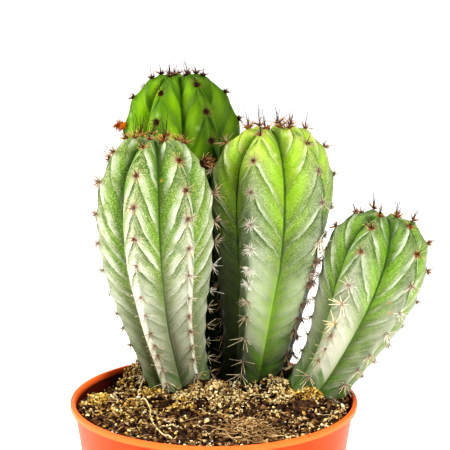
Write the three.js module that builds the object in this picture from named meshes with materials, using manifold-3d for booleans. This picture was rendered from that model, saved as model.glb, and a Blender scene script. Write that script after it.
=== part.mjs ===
import * as THREE from 'three';
import { mergeVertices } from 'three/addons/utils/BufferGeometryUtils.js';
import Module from 'manifold-3d';

// A clump of four ribbed cactus stems in a round nursery pot, full of soil.
// Millimetres, +Z up. The origin lies on the ground under the middle of the pot and the seen side faces -Y.

const DEGREE = Math.PI / 180;
const GAP = 0.3;

// Pot: a thin tapering wall, a short band round the rim, a recessed underside with drain holes.
const POT_COLOUR = 0xf2703c;
const POT_ROUGHNESS = 0.42;
const RIM_RADIUS = 52.5;
const POT_HEIGHT = 94.6;
const BASE_RADIUS = 38;
const WALL_TOP_RADIUS = 50.9;
const WALL = 1.2;
const BAND_HEIGHT = 2.4;
const BAND_EDGE = 0.5;
const CREASE = 0.3;
const FLOOR_TOP = 3.4;
const RECESS = 2;
const FOOT_RING = 3;
const HUB_RADIUS = 12;
const EDGE_ROUND = 0.8;
const POT_SIDES = 48;
const DRAIN_HOLES = 6;
const DRAIN_RADIUS = 3.2;
const DRAIN_CIRCLE = 24;
const DRAIN_SIDES = 8;

// Soil: level near the rim at the front, heaped round the stems, sunken at the back left.
const SOIL_COLOUR = 0x4a3527;
const SOIL_ROUGHNESS = 0.95;
const SOIL_LEVEL = 92.8;
const SOIL_BELOW_RIM = 1;
const SOIL_HEAPS = [
  { x: 8, y: 10, rise: 2.5, wide: 30, deep: 24 },
  { x: 34, y: 0, rise: 2.2, wide: 12, deep: 12 },
  { x: -38, y: 30, rise: -6, wide: 20, deep: 20 },
  { x: 0, y: 52, rise: -3, wide: 30, deep: 12 },
];
// Rolling clods: height and the turn per millimetre along x and y.
const CLODS = [
  { height: 0.9, x: [0.3, 0], y: [0, 0.26], shift: [1.3, 0.97] },
  { height: 0.45, x: [0.52, 0.3], y: [0, 0.48], shift: [-0.4, 1.1] },
];
const SOIL_RINGS = 8;

// Stems. The ribs' crests and the areoles on them are laid out from the apex downwards.
const STEM_ROUGHNESS = 0.55;
const BODY_CURVE = 2.3;
const APEX_DIP = 2;
const CROWN_LENGTH = 30;
const CROWN_TAPER = 0.62;
const CREST_ROUNDING = 1.5;
const MID_FLANK = 0.45;
const COLUMN_SIDES = [0, MID_FLANK, 1, -MID_FLANK];
const CROWN_ROWS = [0.4, 0.95];
const SOCKET_REACH = 12;
const SOCKET_GAP = 0.36;
const FIRST_AREOLE = 2.6;
// Pairs of a share of the way from the apex to the soil and millimetres: from one areole to the next,
// how far the chevrons fall from crest to furrow, and how far they stand out.
const AREOLE_SPACING = [
  [0, 3.5], [0.12, 8], [0.32, 11.5], [0.5, 8.5], [0.62, 6], [0.78, 6.5], [0.9, 8], [1, 6],
];
const CHEVRON_DROP = [[0, 0], [0.1, 8], [0.3, 15], [0.5, 11], [0.75, 8], [1, 5], [1.3, 0]];
const CHEVRON_RELIEF = [[0, 0.1], [0.15, 0.3], [0.35, 0.45], [0.8, 0.35], [1, 0.15], [1.05, 0], [1.4, 0]];
// Share of the stem's radius by which the furrows are cut in.
const FURROW_DEPTH = [[0, 0.26], [0.6, 0.27], [0.9, 0.2], [1, 0.13], [1.15, 0.04], [1.3, 0]];

// Each stem has a number of ribs, the first one's bearing from the seen side and each rib's own lean, in
// degrees. Its axis runs from foot to tip and bows sideways between them. The waist is a share of the radius,
// and the shoulder and dome are shares of the height. Slim ribs fall short by a share of the radius, in pairs
// with the share of the way down.
const STEMS = [
  {
    name: 'stem_left', colour: 0x86a868, ribs: 7, firstRib: -20, lean: [], seed: 11,
    foot: [-13, 19, 92.7], tip: [-21.2, 9, 190.5], bow: [-7.5, -5, 0],
    radius: 21.3, waist: 0.55, shoulder: 0.65, dome: 0.7,
  },
  {
    name: 'stem_centre', colour: 0x7cae4c, ribs: 6, firstRib: -20, lean: [0, 7, 4, 2, 1, 0], seed: 29,
    foot: [15, 20, 94], tip: [20.8, 22, 192.5], bow: [6.3, 0, 0],
    radius: 23.2, waist: 0.55, shoulder: 0.71, dome: 0.72,
    slim: { 2: [[0.3, 0], [0.45, 0.12], [0.65, 0.14], [0.85, 0.12], [1, 0.04]] },
  },
  {
    name: 'stem_back', colour: 0x6fa52c, ribs: 7, firstRib: -24, lean: [], seed: 37,
    foot: [1.5, 39.1, 92], tip: [-13.8, 56.8, 207.5], bow: [-6.5, 7.3, 0],
    radius: 23.2, waist: 0.39, shoulder: 0.64, dome: 0.72,
  },
  {
    name: 'stem_right', colour: 0x7ea558, ribs: 6, firstRib: -15, lean: [0, 5, 3, 2, -1, 0], seed: 71,
    foot: [37.25, 4.7, 96], tip: [63.3, 7.7, 162.4], bow: [6.8, 1, 0],
    radius: 19.3, waist: 0.555, shoulder: 0.62, dome: 0.68,
    slim: { 5: [[0.35, 0], [0.5, 0.08], [0.75, 0.1], [0.9, 0.05], [1, 0]] },
  },
];

// Spines: a star of short thorns on each areole, standing out of the rib's crest.
const THORNS = 4;
const THORN_LENGTH = [[0, 3.6], [0.5, 3.2], [0.75, 4], [1, 5]];
const THORN_LENGTH_SPREAD = [0.75, 1.15];
const THORN_LIFT = [28, 66];
const THORN_BEARING = [0.3, 0.7];
const THORN_CUTS = [1, 0.7, 0.45];
const THORN_STUB = 0.2;
const THORN_ROOM = 0.35;
const STAR_CORE = 0.7;
const STAR_STEP = 5.5;
const STAR_LEAST_RADIUS = 4.5;
const STAR_LEAST_HEIGHT = 5;
// The corners round an areole, from the one above it and on round: rows down and columns round.
const AREOLE_RING = [[-1, 0], [-1, 1], [0, 1], [1, 1], [1, 0], [1, -1], [0, -1], [-1, -1]];

const wasm = await Module();
wasm.setup();

// Joins and cuts work on closed shapes with shared corners.
function solid(geometry) {
  const bare = geometry.clone();
  bare.deleteAttribute('normal');
  bare.deleteAttribute('uv');
  const merged = mergeVertices(bare, 1e-3);
  const mesh = new wasm.Mesh({
    numProp: 3,
    vertProperties: new Float32Array(merged.attributes.position.array),
    triVerts: new Uint32Array(merged.index.array),
  });
  return new wasm.Manifold(mesh);
}

function geometryOf(manifold) {
  const mesh = manifold.getMesh();
  const geometry = new THREE.BufferGeometry();
  geometry.setAttribute('position', new THREE.BufferAttribute(new Float32Array(mesh.vertProperties), 3));
  geometry.setIndex(new THREE.BufferAttribute(new Uint32Array(mesh.triVerts), 1));
  return geometry;
}

function finished(name, manifold, colour, roughness) {
  const flat = geometryOf(manifold).toNonIndexed();
  flat.computeVertexNormals();
  const skin = new THREE.MeshStandardMaterial({ color: colour, roughness, metalness: 0 });
  const mesh = new THREE.Mesh(flat, skin);
  mesh.name = name;
  return mesh;
}

function smooth(x) {
  const t = Math.min(Math.max(x, 0), 1);
  return t * t * (3 - 2 * t);
}

function between([low, high], share) {
  return low + (high - low) * share;
}

// The value at x on a line through the pairs of a table.
function along(table, x) {
  if (x <= table[0][0]) {
    return table[0][1];
  }
  for (let i = 1; i < table.length; i += 1) {
    const [x0, y0] = table[i - 1];
    const [x1, y1] = table[i];
    if (x <= x1) {
      return y0 + (y1 - y0) * (x - x0) / (x1 - x0);
    }
  }
  return table[table.length - 1][1];
}

// Repeatable draws between 0 and 1.
function draws(seed) {
  let state = seed;
  return () => {
    state = (state * 16807) % 2147483647;
    return state / 2147483647;
  };
}

function lathe(points, sides) {
  const profile = points.map(([radius, height]) => new THREE.Vector2(radius, height));
  const geometry = new THREE.LatheGeometry(profile, sides);
  geometry.rotateX(Math.PI / 2);
  return geometry;
}

// The inner face of the pot's wall.
const INNER_FLOOR_RADIUS = BASE_RADIUS - WALL + (WALL_TOP_RADIUS - BASE_RADIUS) * FLOOR_TOP / POT_HEIGHT;
const INNER_SLOPE = (WALL_TOP_RADIUS - BASE_RADIUS) / POT_HEIGHT;

function innerRadius(z) {
  return INNER_FLOOR_RADIUS + (z - FLOOR_TOP) * INNER_SLOPE;
}

function pot() {
  const bandFoot = POT_HEIGHT - BAND_HEIGHT;
  const profile = [
    [0, 0],
    [HUB_RADIUS, 0],
    [HUB_RADIUS + EDGE_ROUND, RECESS],
    [BASE_RADIUS - FOOT_RING - EDGE_ROUND, RECESS],
    [BASE_RADIUS - FOOT_RING, 0],
    [BASE_RADIUS - EDGE_ROUND, 0],
    [BASE_RADIUS, EDGE_ROUND],
    [WALL_TOP_RADIUS - CREASE, bandFoot - CREASE],
    [WALL_TOP_RADIUS - CREASE, bandFoot],
    [RIM_RADIUS - BAND_EDGE, bandFoot],
    [RIM_RADIUS, bandFoot + BAND_EDGE],
    [RIM_RADIUS, POT_HEIGHT - BAND_EDGE],
    [RIM_RADIUS - BAND_EDGE, POT_HEIGHT],
    [innerRadius(POT_HEIGHT) + BAND_EDGE, POT_HEIGHT],
    [innerRadius(POT_HEIGHT - BAND_EDGE), POT_HEIGHT - BAND_EDGE],
    [INNER_FLOOR_RADIUS, FLOOR_TOP],
    [0, FLOOR_TOP],
  ];
  let body = solid(lathe(profile, POT_SIDES));
  for (let i = 0; i < DRAIN_HOLES; i += 1) {
    const angle = (i + 0.5) * 2 * Math.PI / DRAIN_HOLES;
    const hole = new THREE.CylinderGeometry(DRAIN_RADIUS, DRAIN_RADIUS, 3 * FLOOR_TOP, DRAIN_SIDES);
    hole.rotateX(Math.PI / 2);
    hole.translate(DRAIN_CIRCLE * Math.cos(angle), DRAIN_CIRCLE * Math.sin(angle), FLOOR_TOP);
    body = body.subtract(solid(hole));
  }
  return body;
}

function soilTop(x, y) {
  let z = SOIL_LEVEL;
  for (const heap of SOIL_HEAPS) {
    z += heap.rise * Math.exp(-(((x - heap.x) / heap.wide) ** 2) - ((y - heap.y) / heap.deep) ** 2);
  }
  for (const clod of CLODS) {
    const across = Math.sin(clod.x[0] * x + clod.x[1] * y + clod.shift[0]);
    z += clod.height * across * Math.sin(clod.y[0] * x + clod.y[1] * y + clod.shift[1]);
  }
  return z;
}

// The soil is turned as a plain plug. Its top rings are then raised to the lie of the ground.
function soil() {
  const bottom = FLOOR_TOP + GAP;
  const points = [[0, bottom], [innerRadius(bottom) - GAP, bottom]];
  for (let ring = SOIL_RINGS; ring >= 0; ring -= 1) {
    points.push([ring / SOIL_RINGS, SOIL_LEVEL]);
  }
  const geometry = lathe(points, POT_SIDES);
  const position = geometry.attributes.position;
  const highest = POT_HEIGHT - SOIL_BELOW_RIM;
  const nearEdge = innerRadius(SOIL_LEVEL) - GAP;
  for (let i = 0; i <= POT_SIDES; i += 1) {
    const angle = (i % POT_SIDES) * 2 * Math.PI / POT_SIDES;
    const edgeHeight = Math.min(soilTop(nearEdge * Math.cos(angle), nearEdge * Math.sin(angle)), highest);
    const edge = innerRadius(edgeHeight) - GAP;
    const low = points[1][0];
    position.setXYZ(i * points.length + 1, low * Math.cos(angle), low * Math.sin(angle), bottom);
    for (let j = 2; j < points.length; j += 1) {
      const share = points[j][0];
      const x = share * edge * Math.cos(angle);
      const y = share * edge * Math.sin(angle);
      const inside = Math.min(soilTop(x, y), highest + (1 - share) * edge);
      position.setXYZ(i * points.length + j, x, y, share === 1 ? edgeHeight : inside);
    }
  }
  return solid(geometry);
}

// One stem's measures: its bent axis and the crest line of a rib from the apex down to the root crown.
class Stem {
  constructor(spec) {
    const foot = new THREE.Vector3(...spec.foot);
    const tip = new THREE.Vector3(...spec.tip);
    const middle = foot.clone().add(tip).multiplyScalar(0.5).add(new THREE.Vector3(...spec.bow));
    this.spec = spec;
    this.axis = new THREE.QuadraticBezierCurve3(foot, middle, tip);
    this.start = foot.clone();
    this.startSlope = middle.clone().sub(foot).multiplyScalar(2);
    this.height = foot.distanceTo(tip);
    this.bodyHeight = spec.dome * this.height;
    const rise = this.height - this.bodyHeight;
    this.domeLength = Math.PI / 2 * Math.sqrt((rise * rise + spec.radius * spec.radius) / 2);
    this.crestLength = this.bodyHeight + this.domeLength;
  }

  // Radius and height of the crest at a distance from the apex. A swell makes the shape larger all round.
  crest(distance, swell = 0) {
    const { radius, waist, shoulder } = this.spec;
    if (distance > this.crestLength) {
      const below = distance - this.crestLength;
      const share = Math.min(below / CROWN_LENGTH, 1);
      return [radius * waist * (1 - CROWN_TAPER * smooth(share)) + swell, -below - swell * share];
    }
    const fromFoot = this.crestLength - distance;
    const bodyZ = Math.min(fromFoot, this.bodyHeight);
    const swelled = waist + (1 - waist) * smooth(bodyZ / this.height / shoulder);
    if (fromFoot <= this.bodyHeight) {
      return [radius * swelled + swell, bodyZ];
    }
    const turn = Math.min((fromFoot - this.bodyHeight) / this.domeLength, 1) * Math.PI / 2;
    const r = radius * swelled * Math.max(Math.cos(turn), 0) ** (2 / BODY_CURVE);
    const arch = (this.height - this.bodyHeight) * Math.sin(turn) ** (2 / BODY_CURVE);
    const dip = APEX_DIP * Math.exp(-((r / (0.3 * radius)) ** 2));
    return [r + swell, this.bodyHeight + arch - dip];
  }

  // The outward direction of the crest line, in radius and height.
  outward(distance) {
    const step = 0.25;
    const [r0, z0] = this.crest(Math.max(distance - step, 0));
    const [r1, z1] = this.crest(distance + step);
    const length = Math.hypot(r1 - r0, z1 - z0);
    return [(z0 - z1) / length, (r1 - r0) / length];
  }

  // From the straight stem's own measures to the place on the bent axis. Angle 0 faces the seen side.
  place(radius, angle, z) {
    const share = z / this.height;
    const point = new THREE.Vector3();
    const along3 = new THREE.Vector3();
    if (share < 0) {
      point.copy(this.start).addScaledVector(this.startSlope, share);
      along3.copy(this.startSlope).normalize();
    } else {
      this.axis.getPoint(share, point);
      this.axis.getTangent(share, along3);
    }
    const right = new THREE.Vector3(1, 0, 0).addScaledVector(along3, -along3.x).normalize();
    const back = new THREE.Vector3().crossVectors(along3, right);
    point.addScaledVector(right, radius * Math.sin(angle));
    point.addScaledVector(back, -radius * Math.cos(angle));
    return point;
  }

  ribAngle(index) {
    const { ribs, firstRib, lean } = this.spec;
    const wrapped = ((index % ribs) + ribs) % ribs;
    const turns = Math.floor(index / ribs);
    return (firstRib + wrapped * 360 / ribs + (lean[wrapped] ?? 0) + 360 * turns) * DEGREE;
  }

  // How far the skin falls short at a place on a rib, as a share of the radius.
  shortfall(rib, side, share) {
    const { ribs, slim = {} } = this.spec;
    const ofRib = (index) => along(slim[((index % ribs) + ribs) % ribs] ?? [[0, 0]], share);
    const part = Math.abs(side) / 2;
    return ofRib(rib) * (1 - part) + ofRib(rib + Math.sign(side)) * part;
  }

  // A point of the ribbed skin: rib number, how far from crest to furrow (-1 to 1), distance from the apex.
  skin(rib, side, distance, relief = 0, swell = 0) {
    const share = distance / this.crestLength;
    const flank = Math.abs(side);
    const lower = distance + along(CHEVRON_DROP, share) * flank;
    const [full, z] = this.crest(lower, swell);
    const r = full * (1 - this.shortfall(rib, side, share));
    const [outR, outZ] = this.outward(lower);
    const { radius } = this.spec;
    const cut = along(FURROW_DEPTH, share) * r ** 0.6 * radius ** 0.4 * flank ** CREST_ROUNDING;
    const raised = relief * along(CHEVRON_RELIEF, share) - cut;
    const here = this.ribAngle(rib);
    const next = this.ribAngle(rib + Math.sign(side));
    const angle = here + (next - here) * flank / 2;
    return this.place(Math.max(r + outR * raised, 0), angle, z + outZ * raised);
  }

  // Distances of the areoles from the apex, crowded at the tip.
  areoles() {
    const list = [];
    let distance = FIRST_AREOLE;
    while (distance < this.crestLength) {
      list.push(distance);
      distance += along(AREOLE_SPACING, distance / this.crestLength);
    }
    return list;
  }

  // Rows of corners round the body: one at each areole, one between, and a few down the root crown.
  rows() {
    const rows = [];
    const areoles = this.areoles();
    areoles.forEach((distance, i) => {
      const next = areoles[i + 1] ?? this.crestLength + 2;
      rows.push({ distance, relief: 1 });
      rows.push({ distance: (distance + next) / 2, relief: -1 });
    });
    return rows.concat(this.crownRows());
  }

  crownRows() {
    return CROWN_ROWS.map((share) => ({ distance: this.crestLength + share * CROWN_LENGTH, relief: 0 }));
  }

  // The stem's foot and root crown, a little enlarged: the shape of its hole in the soil.
  socket() {
    const low = this.rows().filter((row) => row.distance > this.crestLength - SOCKET_REACH);
    return this.skinned(low, this.crest(low[0].distance)[1], new Map(), SOCKET_GAP);
  }

  // The closed ribbed body, with a star of thorns on the areoles that have one.
  body(stars = new Map()) {
    return this.skinned(this.rows(), this.crest(0)[1], stars, 0);
  }

  // The closed skin over a list of rows, from the topmost down. Each row has a corner on every crest and
  // furrow and one on each flank. A star takes the place of the four faces round its areole.
  skinned(rows, topHeight, stars, swell) {
    const columns = this.spec.ribs * COLUMN_SIDES.length;
    const points = [];
    const faces = [];
    const at = (j, i) => j * columns + (i + columns) % columns;
    for (const row of rows) {
      for (let i = 0; i < columns; i += 1) {
        const side = COLUMN_SIDES[i % COLUMN_SIDES.length];
        const rib = Math.floor(i / COLUMN_SIDES.length) + (side < 0 ? 1 : 0);
        points.push(this.skin(rib, side, row.distance, row.relief, swell));
      }
    }
    const top = points.length;
    points.push(this.place(0, 0, topHeight));
    const bottom = points.length;
    points.push(this.place(0, 0, -CROWN_LENGTH - swell));
    for (let i = 0; i < columns; i += 1) {
      faces.push([top, at(0, i), at(0, i + 1)]);
      faces.push([bottom, at(rows.length - 1, i + 1), at(rows.length - 1, i)]);
    }
    const opened = new Set();
    for (const [centre, star] of stars) {
      const j = Math.floor(centre / columns);
      const i = centre % columns;
      const outer = AREOLE_RING.map(([down, round]) => at(j + down, i + round));
      [at(j - 1, i - 1), at(j - 1, i), at(j, i - 1), at(j, i)].forEach((face) => opened.add(face));
      const first = points.length;
      points.push(...star.ring, ...star.tips);
      for (let q = 0; q < THORNS; q += 1) {
        const here = first + q;
        const next = first + (q + 1) % THORNS;
        const tip = first + THORNS + q;
        const [before, corner, after] = [outer[2 * q], outer[2 * q + 1], outer[(2 * q + 2) % outer.length]];
        faces.push([before, here, corner], [corner, here, next], [corner, next, after]);
        faces.push([here, tip, next], [next, tip, centre], [centre, tip, here]);
      }
    }
    for (let j = 0; j + 1 < rows.length; j += 1) {
      for (let i = 0; i < columns; i += 1) {
        if (!opened.has(at(j, i))) {
          faces.push([at(j, i), at(j + 1, i), at(j + 1, i + 1)], [at(j, i), at(j + 1, i + 1), at(j, i + 1)]);
        }
      }
    }
    const geometry = new THREE.BufferGeometry().setFromPoints(points);
    geometry.setIndex(faces.flat());
    return geometry;
  }

  // The places of the stars, thinned where the areoles crowd. The corner is the areole's number in the skin.
  starPlaces() {
    const list = [];
    const rows = this.rows();
    const columns = this.spec.ribs * COLUMN_SIDES.length;
    for (let rib = 0; rib < this.spec.ribs; rib += 1) {
      let last = -Infinity;
      rows.forEach((row, j) => {
        const [radius, z] = this.crest(row.distance);
        const room = row.distance - last >= STAR_STEP && radius > STAR_LEAST_RADIUS && z > STAR_LEAST_HEIGHT;
        if (row.relief === 1 && room) {
          last = row.distance;
          list.push({ rib, distance: row.distance, corner: j * columns + rib * COLUMN_SIDES.length });
        }
      });
    }
    return list;
  }

  // One star: a small lozenge on the crest, with a thorn standing on each of its quarters.
  star({ rib, distance }, draw, isClear) {
    const centre = this.skin(rib, 0, distance, 1);
    const down = this.skin(rib, 0, distance + 1, 1).sub(this.skin(rib, 0, distance - 1, 1)).normalize();
    const [outR, outZ] = this.outward(distance);
    const [r, z] = this.crest(distance);
    const angle = this.ribAngle(rib);
    const outward = this.place(r + outR, angle, z + outZ).sub(this.place(r, angle, z)).normalize();
    const across = new THREE.Vector3().crossVectors(down, outward).normalize();
    const towards = (bearing, lift, length) => centre.clone()
      .addScaledVector(down, -Math.cos(bearing) * Math.cos(lift) * length)
      .addScaledVector(across, Math.sin(bearing) * Math.cos(lift) * length)
      .addScaledVector(outward, Math.sin(lift) * length);
    const usual = along(THORN_LENGTH, distance / this.crestLength);
    const quarter = 2 * Math.PI / THORNS;
    const ring = [];
    const tips = [];
    for (let q = 0; q < THORNS; q += 1) {
      ring.push(towards(q * quarter, 0, STAR_CORE));
      const bearing = (q + between(THORN_BEARING, draw())) * quarter;
      const lift = between(THORN_LIFT, draw()) * DEGREE;
      const length = usual * between(THORN_LENGTH_SPREAD, draw());
      const cut = THORN_CUTS.find((share) => isClear(centre, towards(bearing, lift, length * share)));
      tips.push(towards(bearing, lift, length * (cut ?? THORN_STUB)));
    }
    return { ring, tips };
  }
}

function empty(manifold) {
  return manifold.getMesh().triVerts.length === 0;
}

function reach(manifold) {
  const box = new THREE.Box3();
  box.setFromBufferAttribute(geometryOf(manifold).attributes.position);
  return box;
}

// Whether a thorn from root to tip, with some room round it, stays out of everything near it.
function thornIsClear(root, tip, others) {
  const length = root.distanceTo(tip) + THORN_ROOM;
  const spike = new THREE.CylinderGeometry(THORN_ROOM, STAR_CORE + THORN_ROOM, length, 4);
  spike.translate(0, length / 2, 0);
  const direction = tip.clone().sub(root).normalize();
  spike.applyQuaternion(new THREE.Quaternion().setFromUnitVectors(new THREE.Vector3(0, 1, 0), direction));
  spike.translate(root.x, root.y, root.z);
  const shape = solid(spike);
  const box = reach(shape);
  return !others.some((other) => box.intersectsBox(other.box) && !empty(shape.intersect(other.shape)));
}

const potShape = pot();
const stems = STEMS.map((spec) => new Stem(spec));
let soilShape = soil();
for (const stem of stems) {
  soilShape = soilShape.subtract(solid(stem.socket()));
}

// The stars grow stem by stem, each kept out of the pot, the soil and the stems beside it.
const still = [potShape, soilShape].map((shape) => ({ shape, box: reach(shape) }));
const bodies = stems.map((stem) => {
  const shape = solid(stem.body());
  return { shape, box: reach(shape) };
});
stems.forEach((stem, own) => {
  const draw = draws(stem.spec.seed);
  const others = still.concat(bodies.filter((_, i) => i !== own));
  const stars = new Map();
  for (const place of stem.starPlaces()) {
    stars.set(place.corner, stem.star(place, draw, (root, tip) => thornIsClear(root, tip, others)));
  }
  const shape = solid(stem.body(stars));
  bodies[own] = { shape, box: reach(shape) };
});

const group = new THREE.Group();
group.name = 'potted_cactus';
group.add(finished('pot', potShape, POT_COLOUR, POT_ROUGHNESS));
group.add(finished('soil', soilShape, SOIL_COLOUR, SOIL_ROUGHNESS));
stems.forEach((stem, i) => {
  group.add(finished(stem.spec.name, bodies[i].shape, stem.spec.colour, STEM_ROUGHNESS));
});

export default group;
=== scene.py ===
"""The looks of a potted clump of four ribbed cactus stems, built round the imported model.

Metres, +Z up. The seen side of the object faces -Y, and the origin lies on the ground under the pot.
Measures in the tables below are millimetres.
"""
import itertools
import math

import bpy
import numpy as np
from bpy.props import FloatProperty, FloatVectorProperty, PointerProperty
from bpy.types import Operator, Panel, PropertyGroup
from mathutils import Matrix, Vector


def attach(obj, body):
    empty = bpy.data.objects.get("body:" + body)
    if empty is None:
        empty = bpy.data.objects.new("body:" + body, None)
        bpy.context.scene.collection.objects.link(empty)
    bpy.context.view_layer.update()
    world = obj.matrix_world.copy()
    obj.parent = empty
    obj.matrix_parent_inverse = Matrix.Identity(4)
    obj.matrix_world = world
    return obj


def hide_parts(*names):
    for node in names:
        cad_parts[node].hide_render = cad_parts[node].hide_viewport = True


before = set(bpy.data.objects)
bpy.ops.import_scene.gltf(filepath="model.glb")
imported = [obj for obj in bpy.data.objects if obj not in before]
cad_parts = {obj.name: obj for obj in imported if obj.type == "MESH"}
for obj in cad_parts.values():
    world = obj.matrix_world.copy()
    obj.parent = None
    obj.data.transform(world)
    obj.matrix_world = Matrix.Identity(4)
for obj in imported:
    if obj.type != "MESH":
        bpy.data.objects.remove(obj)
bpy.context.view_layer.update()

bl_info = {
    "name": "Potted Cactus Clump",
    "version": (1, 0, 0),
    "blender": (4, 5, 0),
    "location": "3D Viewport > Sidebar > Cactus",
    "description": "Builds a clump of ribbed cactus stems in a round nursery pot",
    "category": "Add Mesh",
}

MM = 0.001
FULL_TURN = 2 * math.pi

# Pot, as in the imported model.
RIM_RADIUS = 52.5
POT_HEIGHT = 94.6
BASE_RADIUS = 38.0
WALL_TOP_RADIUS = 50.9
WALL = 1.2
BAND_HEIGHT = 2.4
CREASE = 0.35
LIP = 1.7
FLOOR_TOP = 3.4
RECESS = 2.0
FOOT_RING = 3.0
HUB_RADIUS = 12.0
DRAIN_HOLES = 6
DRAIN_RADIUS = 3.2
DRAIN_CIRCLE = 24.0
INNER_SLOPE = (WALL_TOP_RADIUS - BASE_RADIUS) / POT_HEIGHT
INNER_FLOOR_RADIUS = BASE_RADIUS - WALL + INNER_SLOPE * FLOOR_TOP

# Soil: level, heaps (x, y, rise, half width, half depth) and rolling clods. The last four heaps are the looks'
# own: against the wall, in the middle, and two beside the short stem.
SOIL_LEVEL = 92.8
SOIL_BELOW_RIM = 1.0
SOIL_HEAPS = [(8, 10, 2.5, 30, 24), (34, 0, 2.2, 12, 12), (-38, 30, -6, 20, 20), (0, 52, -3, 30, 12),
              (-30, 33, 9.5, 7, 11), (-5, 11, 2.6, 6, 6), (47, 14, 1.2, 8, 14), (32, -6, 2.4, 8, 4.5)]
CLODS = [(0.9, (0.3, 0, 1.3), (0, 0.26, 0.97)), (0.45, (0.52, 0.3, -0.4), (0, 0.48, 1.1))]
# Crumbs of the bed: their width, their own number and their height.
BED_CRUMBS = ((5, 3, 1.3), (2.4, 4, 1.0), (1.1, 5, 0.5))
BED_SINK = 0.5
HIGHEST_SOIL = POT_HEIGHT + 8
# Over this width the crumbs fade out towards the wall.
WALL_FADE = 3.0
SOIL_GAP = 0.3
SOIL_SECTORS = 300
SOIL_RINGS = 84

# Stems. Tables run over the share of the way from the apex to the soil.
BODY_CURVE = 2.3
APEX_DIP = 2.0
CROWN_LENGTH = 30.0
CROWN_TAPER = 0.62
CHEVRON_DROP = [(0, 0), (0.1, 8), (0.3, 15), (0.5, 11), (0.75, 8), (1, 5), (1.3, 0)]
CHEVRON_RELIEF = [(0, 0.15), (0.12, 0.4), (0.35, 0.5), (0.5, 0.25), (0.6, 0.04), (0.85, 0.04), (0.95, 0.3), (1.05, 0)]
# How many areoles further down a chevron falls on its way to the furrow, besides the drop.
CHEVRON_FALL = [(0, 0.5), (0.35, 0.6), (0.55, 0.3), (0.75, 0), (1, 0.3)]
FURROW_DEPTH = [(0, 0.26), (0.6, 0.27), (0.9, 0.2), (1, 0.13), (1.15, 0.04), (1.3, 0)]
AREOLE_SPACING = [(0, 4), (0.08, 9), (0.15, 12), (0.3, 10), (0.5, 9.5), (0.62, 7), (0.8, 6.5), (1, 7)]
# The knob under an areole: its height, and how far it reaches along and across the rib.
KNOB = (0.45, 1.5, 1.6)
# Waves of the skin: their width and height.
SKIN_WAVES = ((9, 0.22), (3.2, 0.07))
# The shape of one chevron step, over the part of the way from one areole to the next.
STEP_SHAPE = [(0, 1), (0.09, 0.5), (0.2, -0.6), (0.32, -0.8), (0.55, -0.4), (0.8, 0), (0.92, 0.55), (1, 1)]

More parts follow.
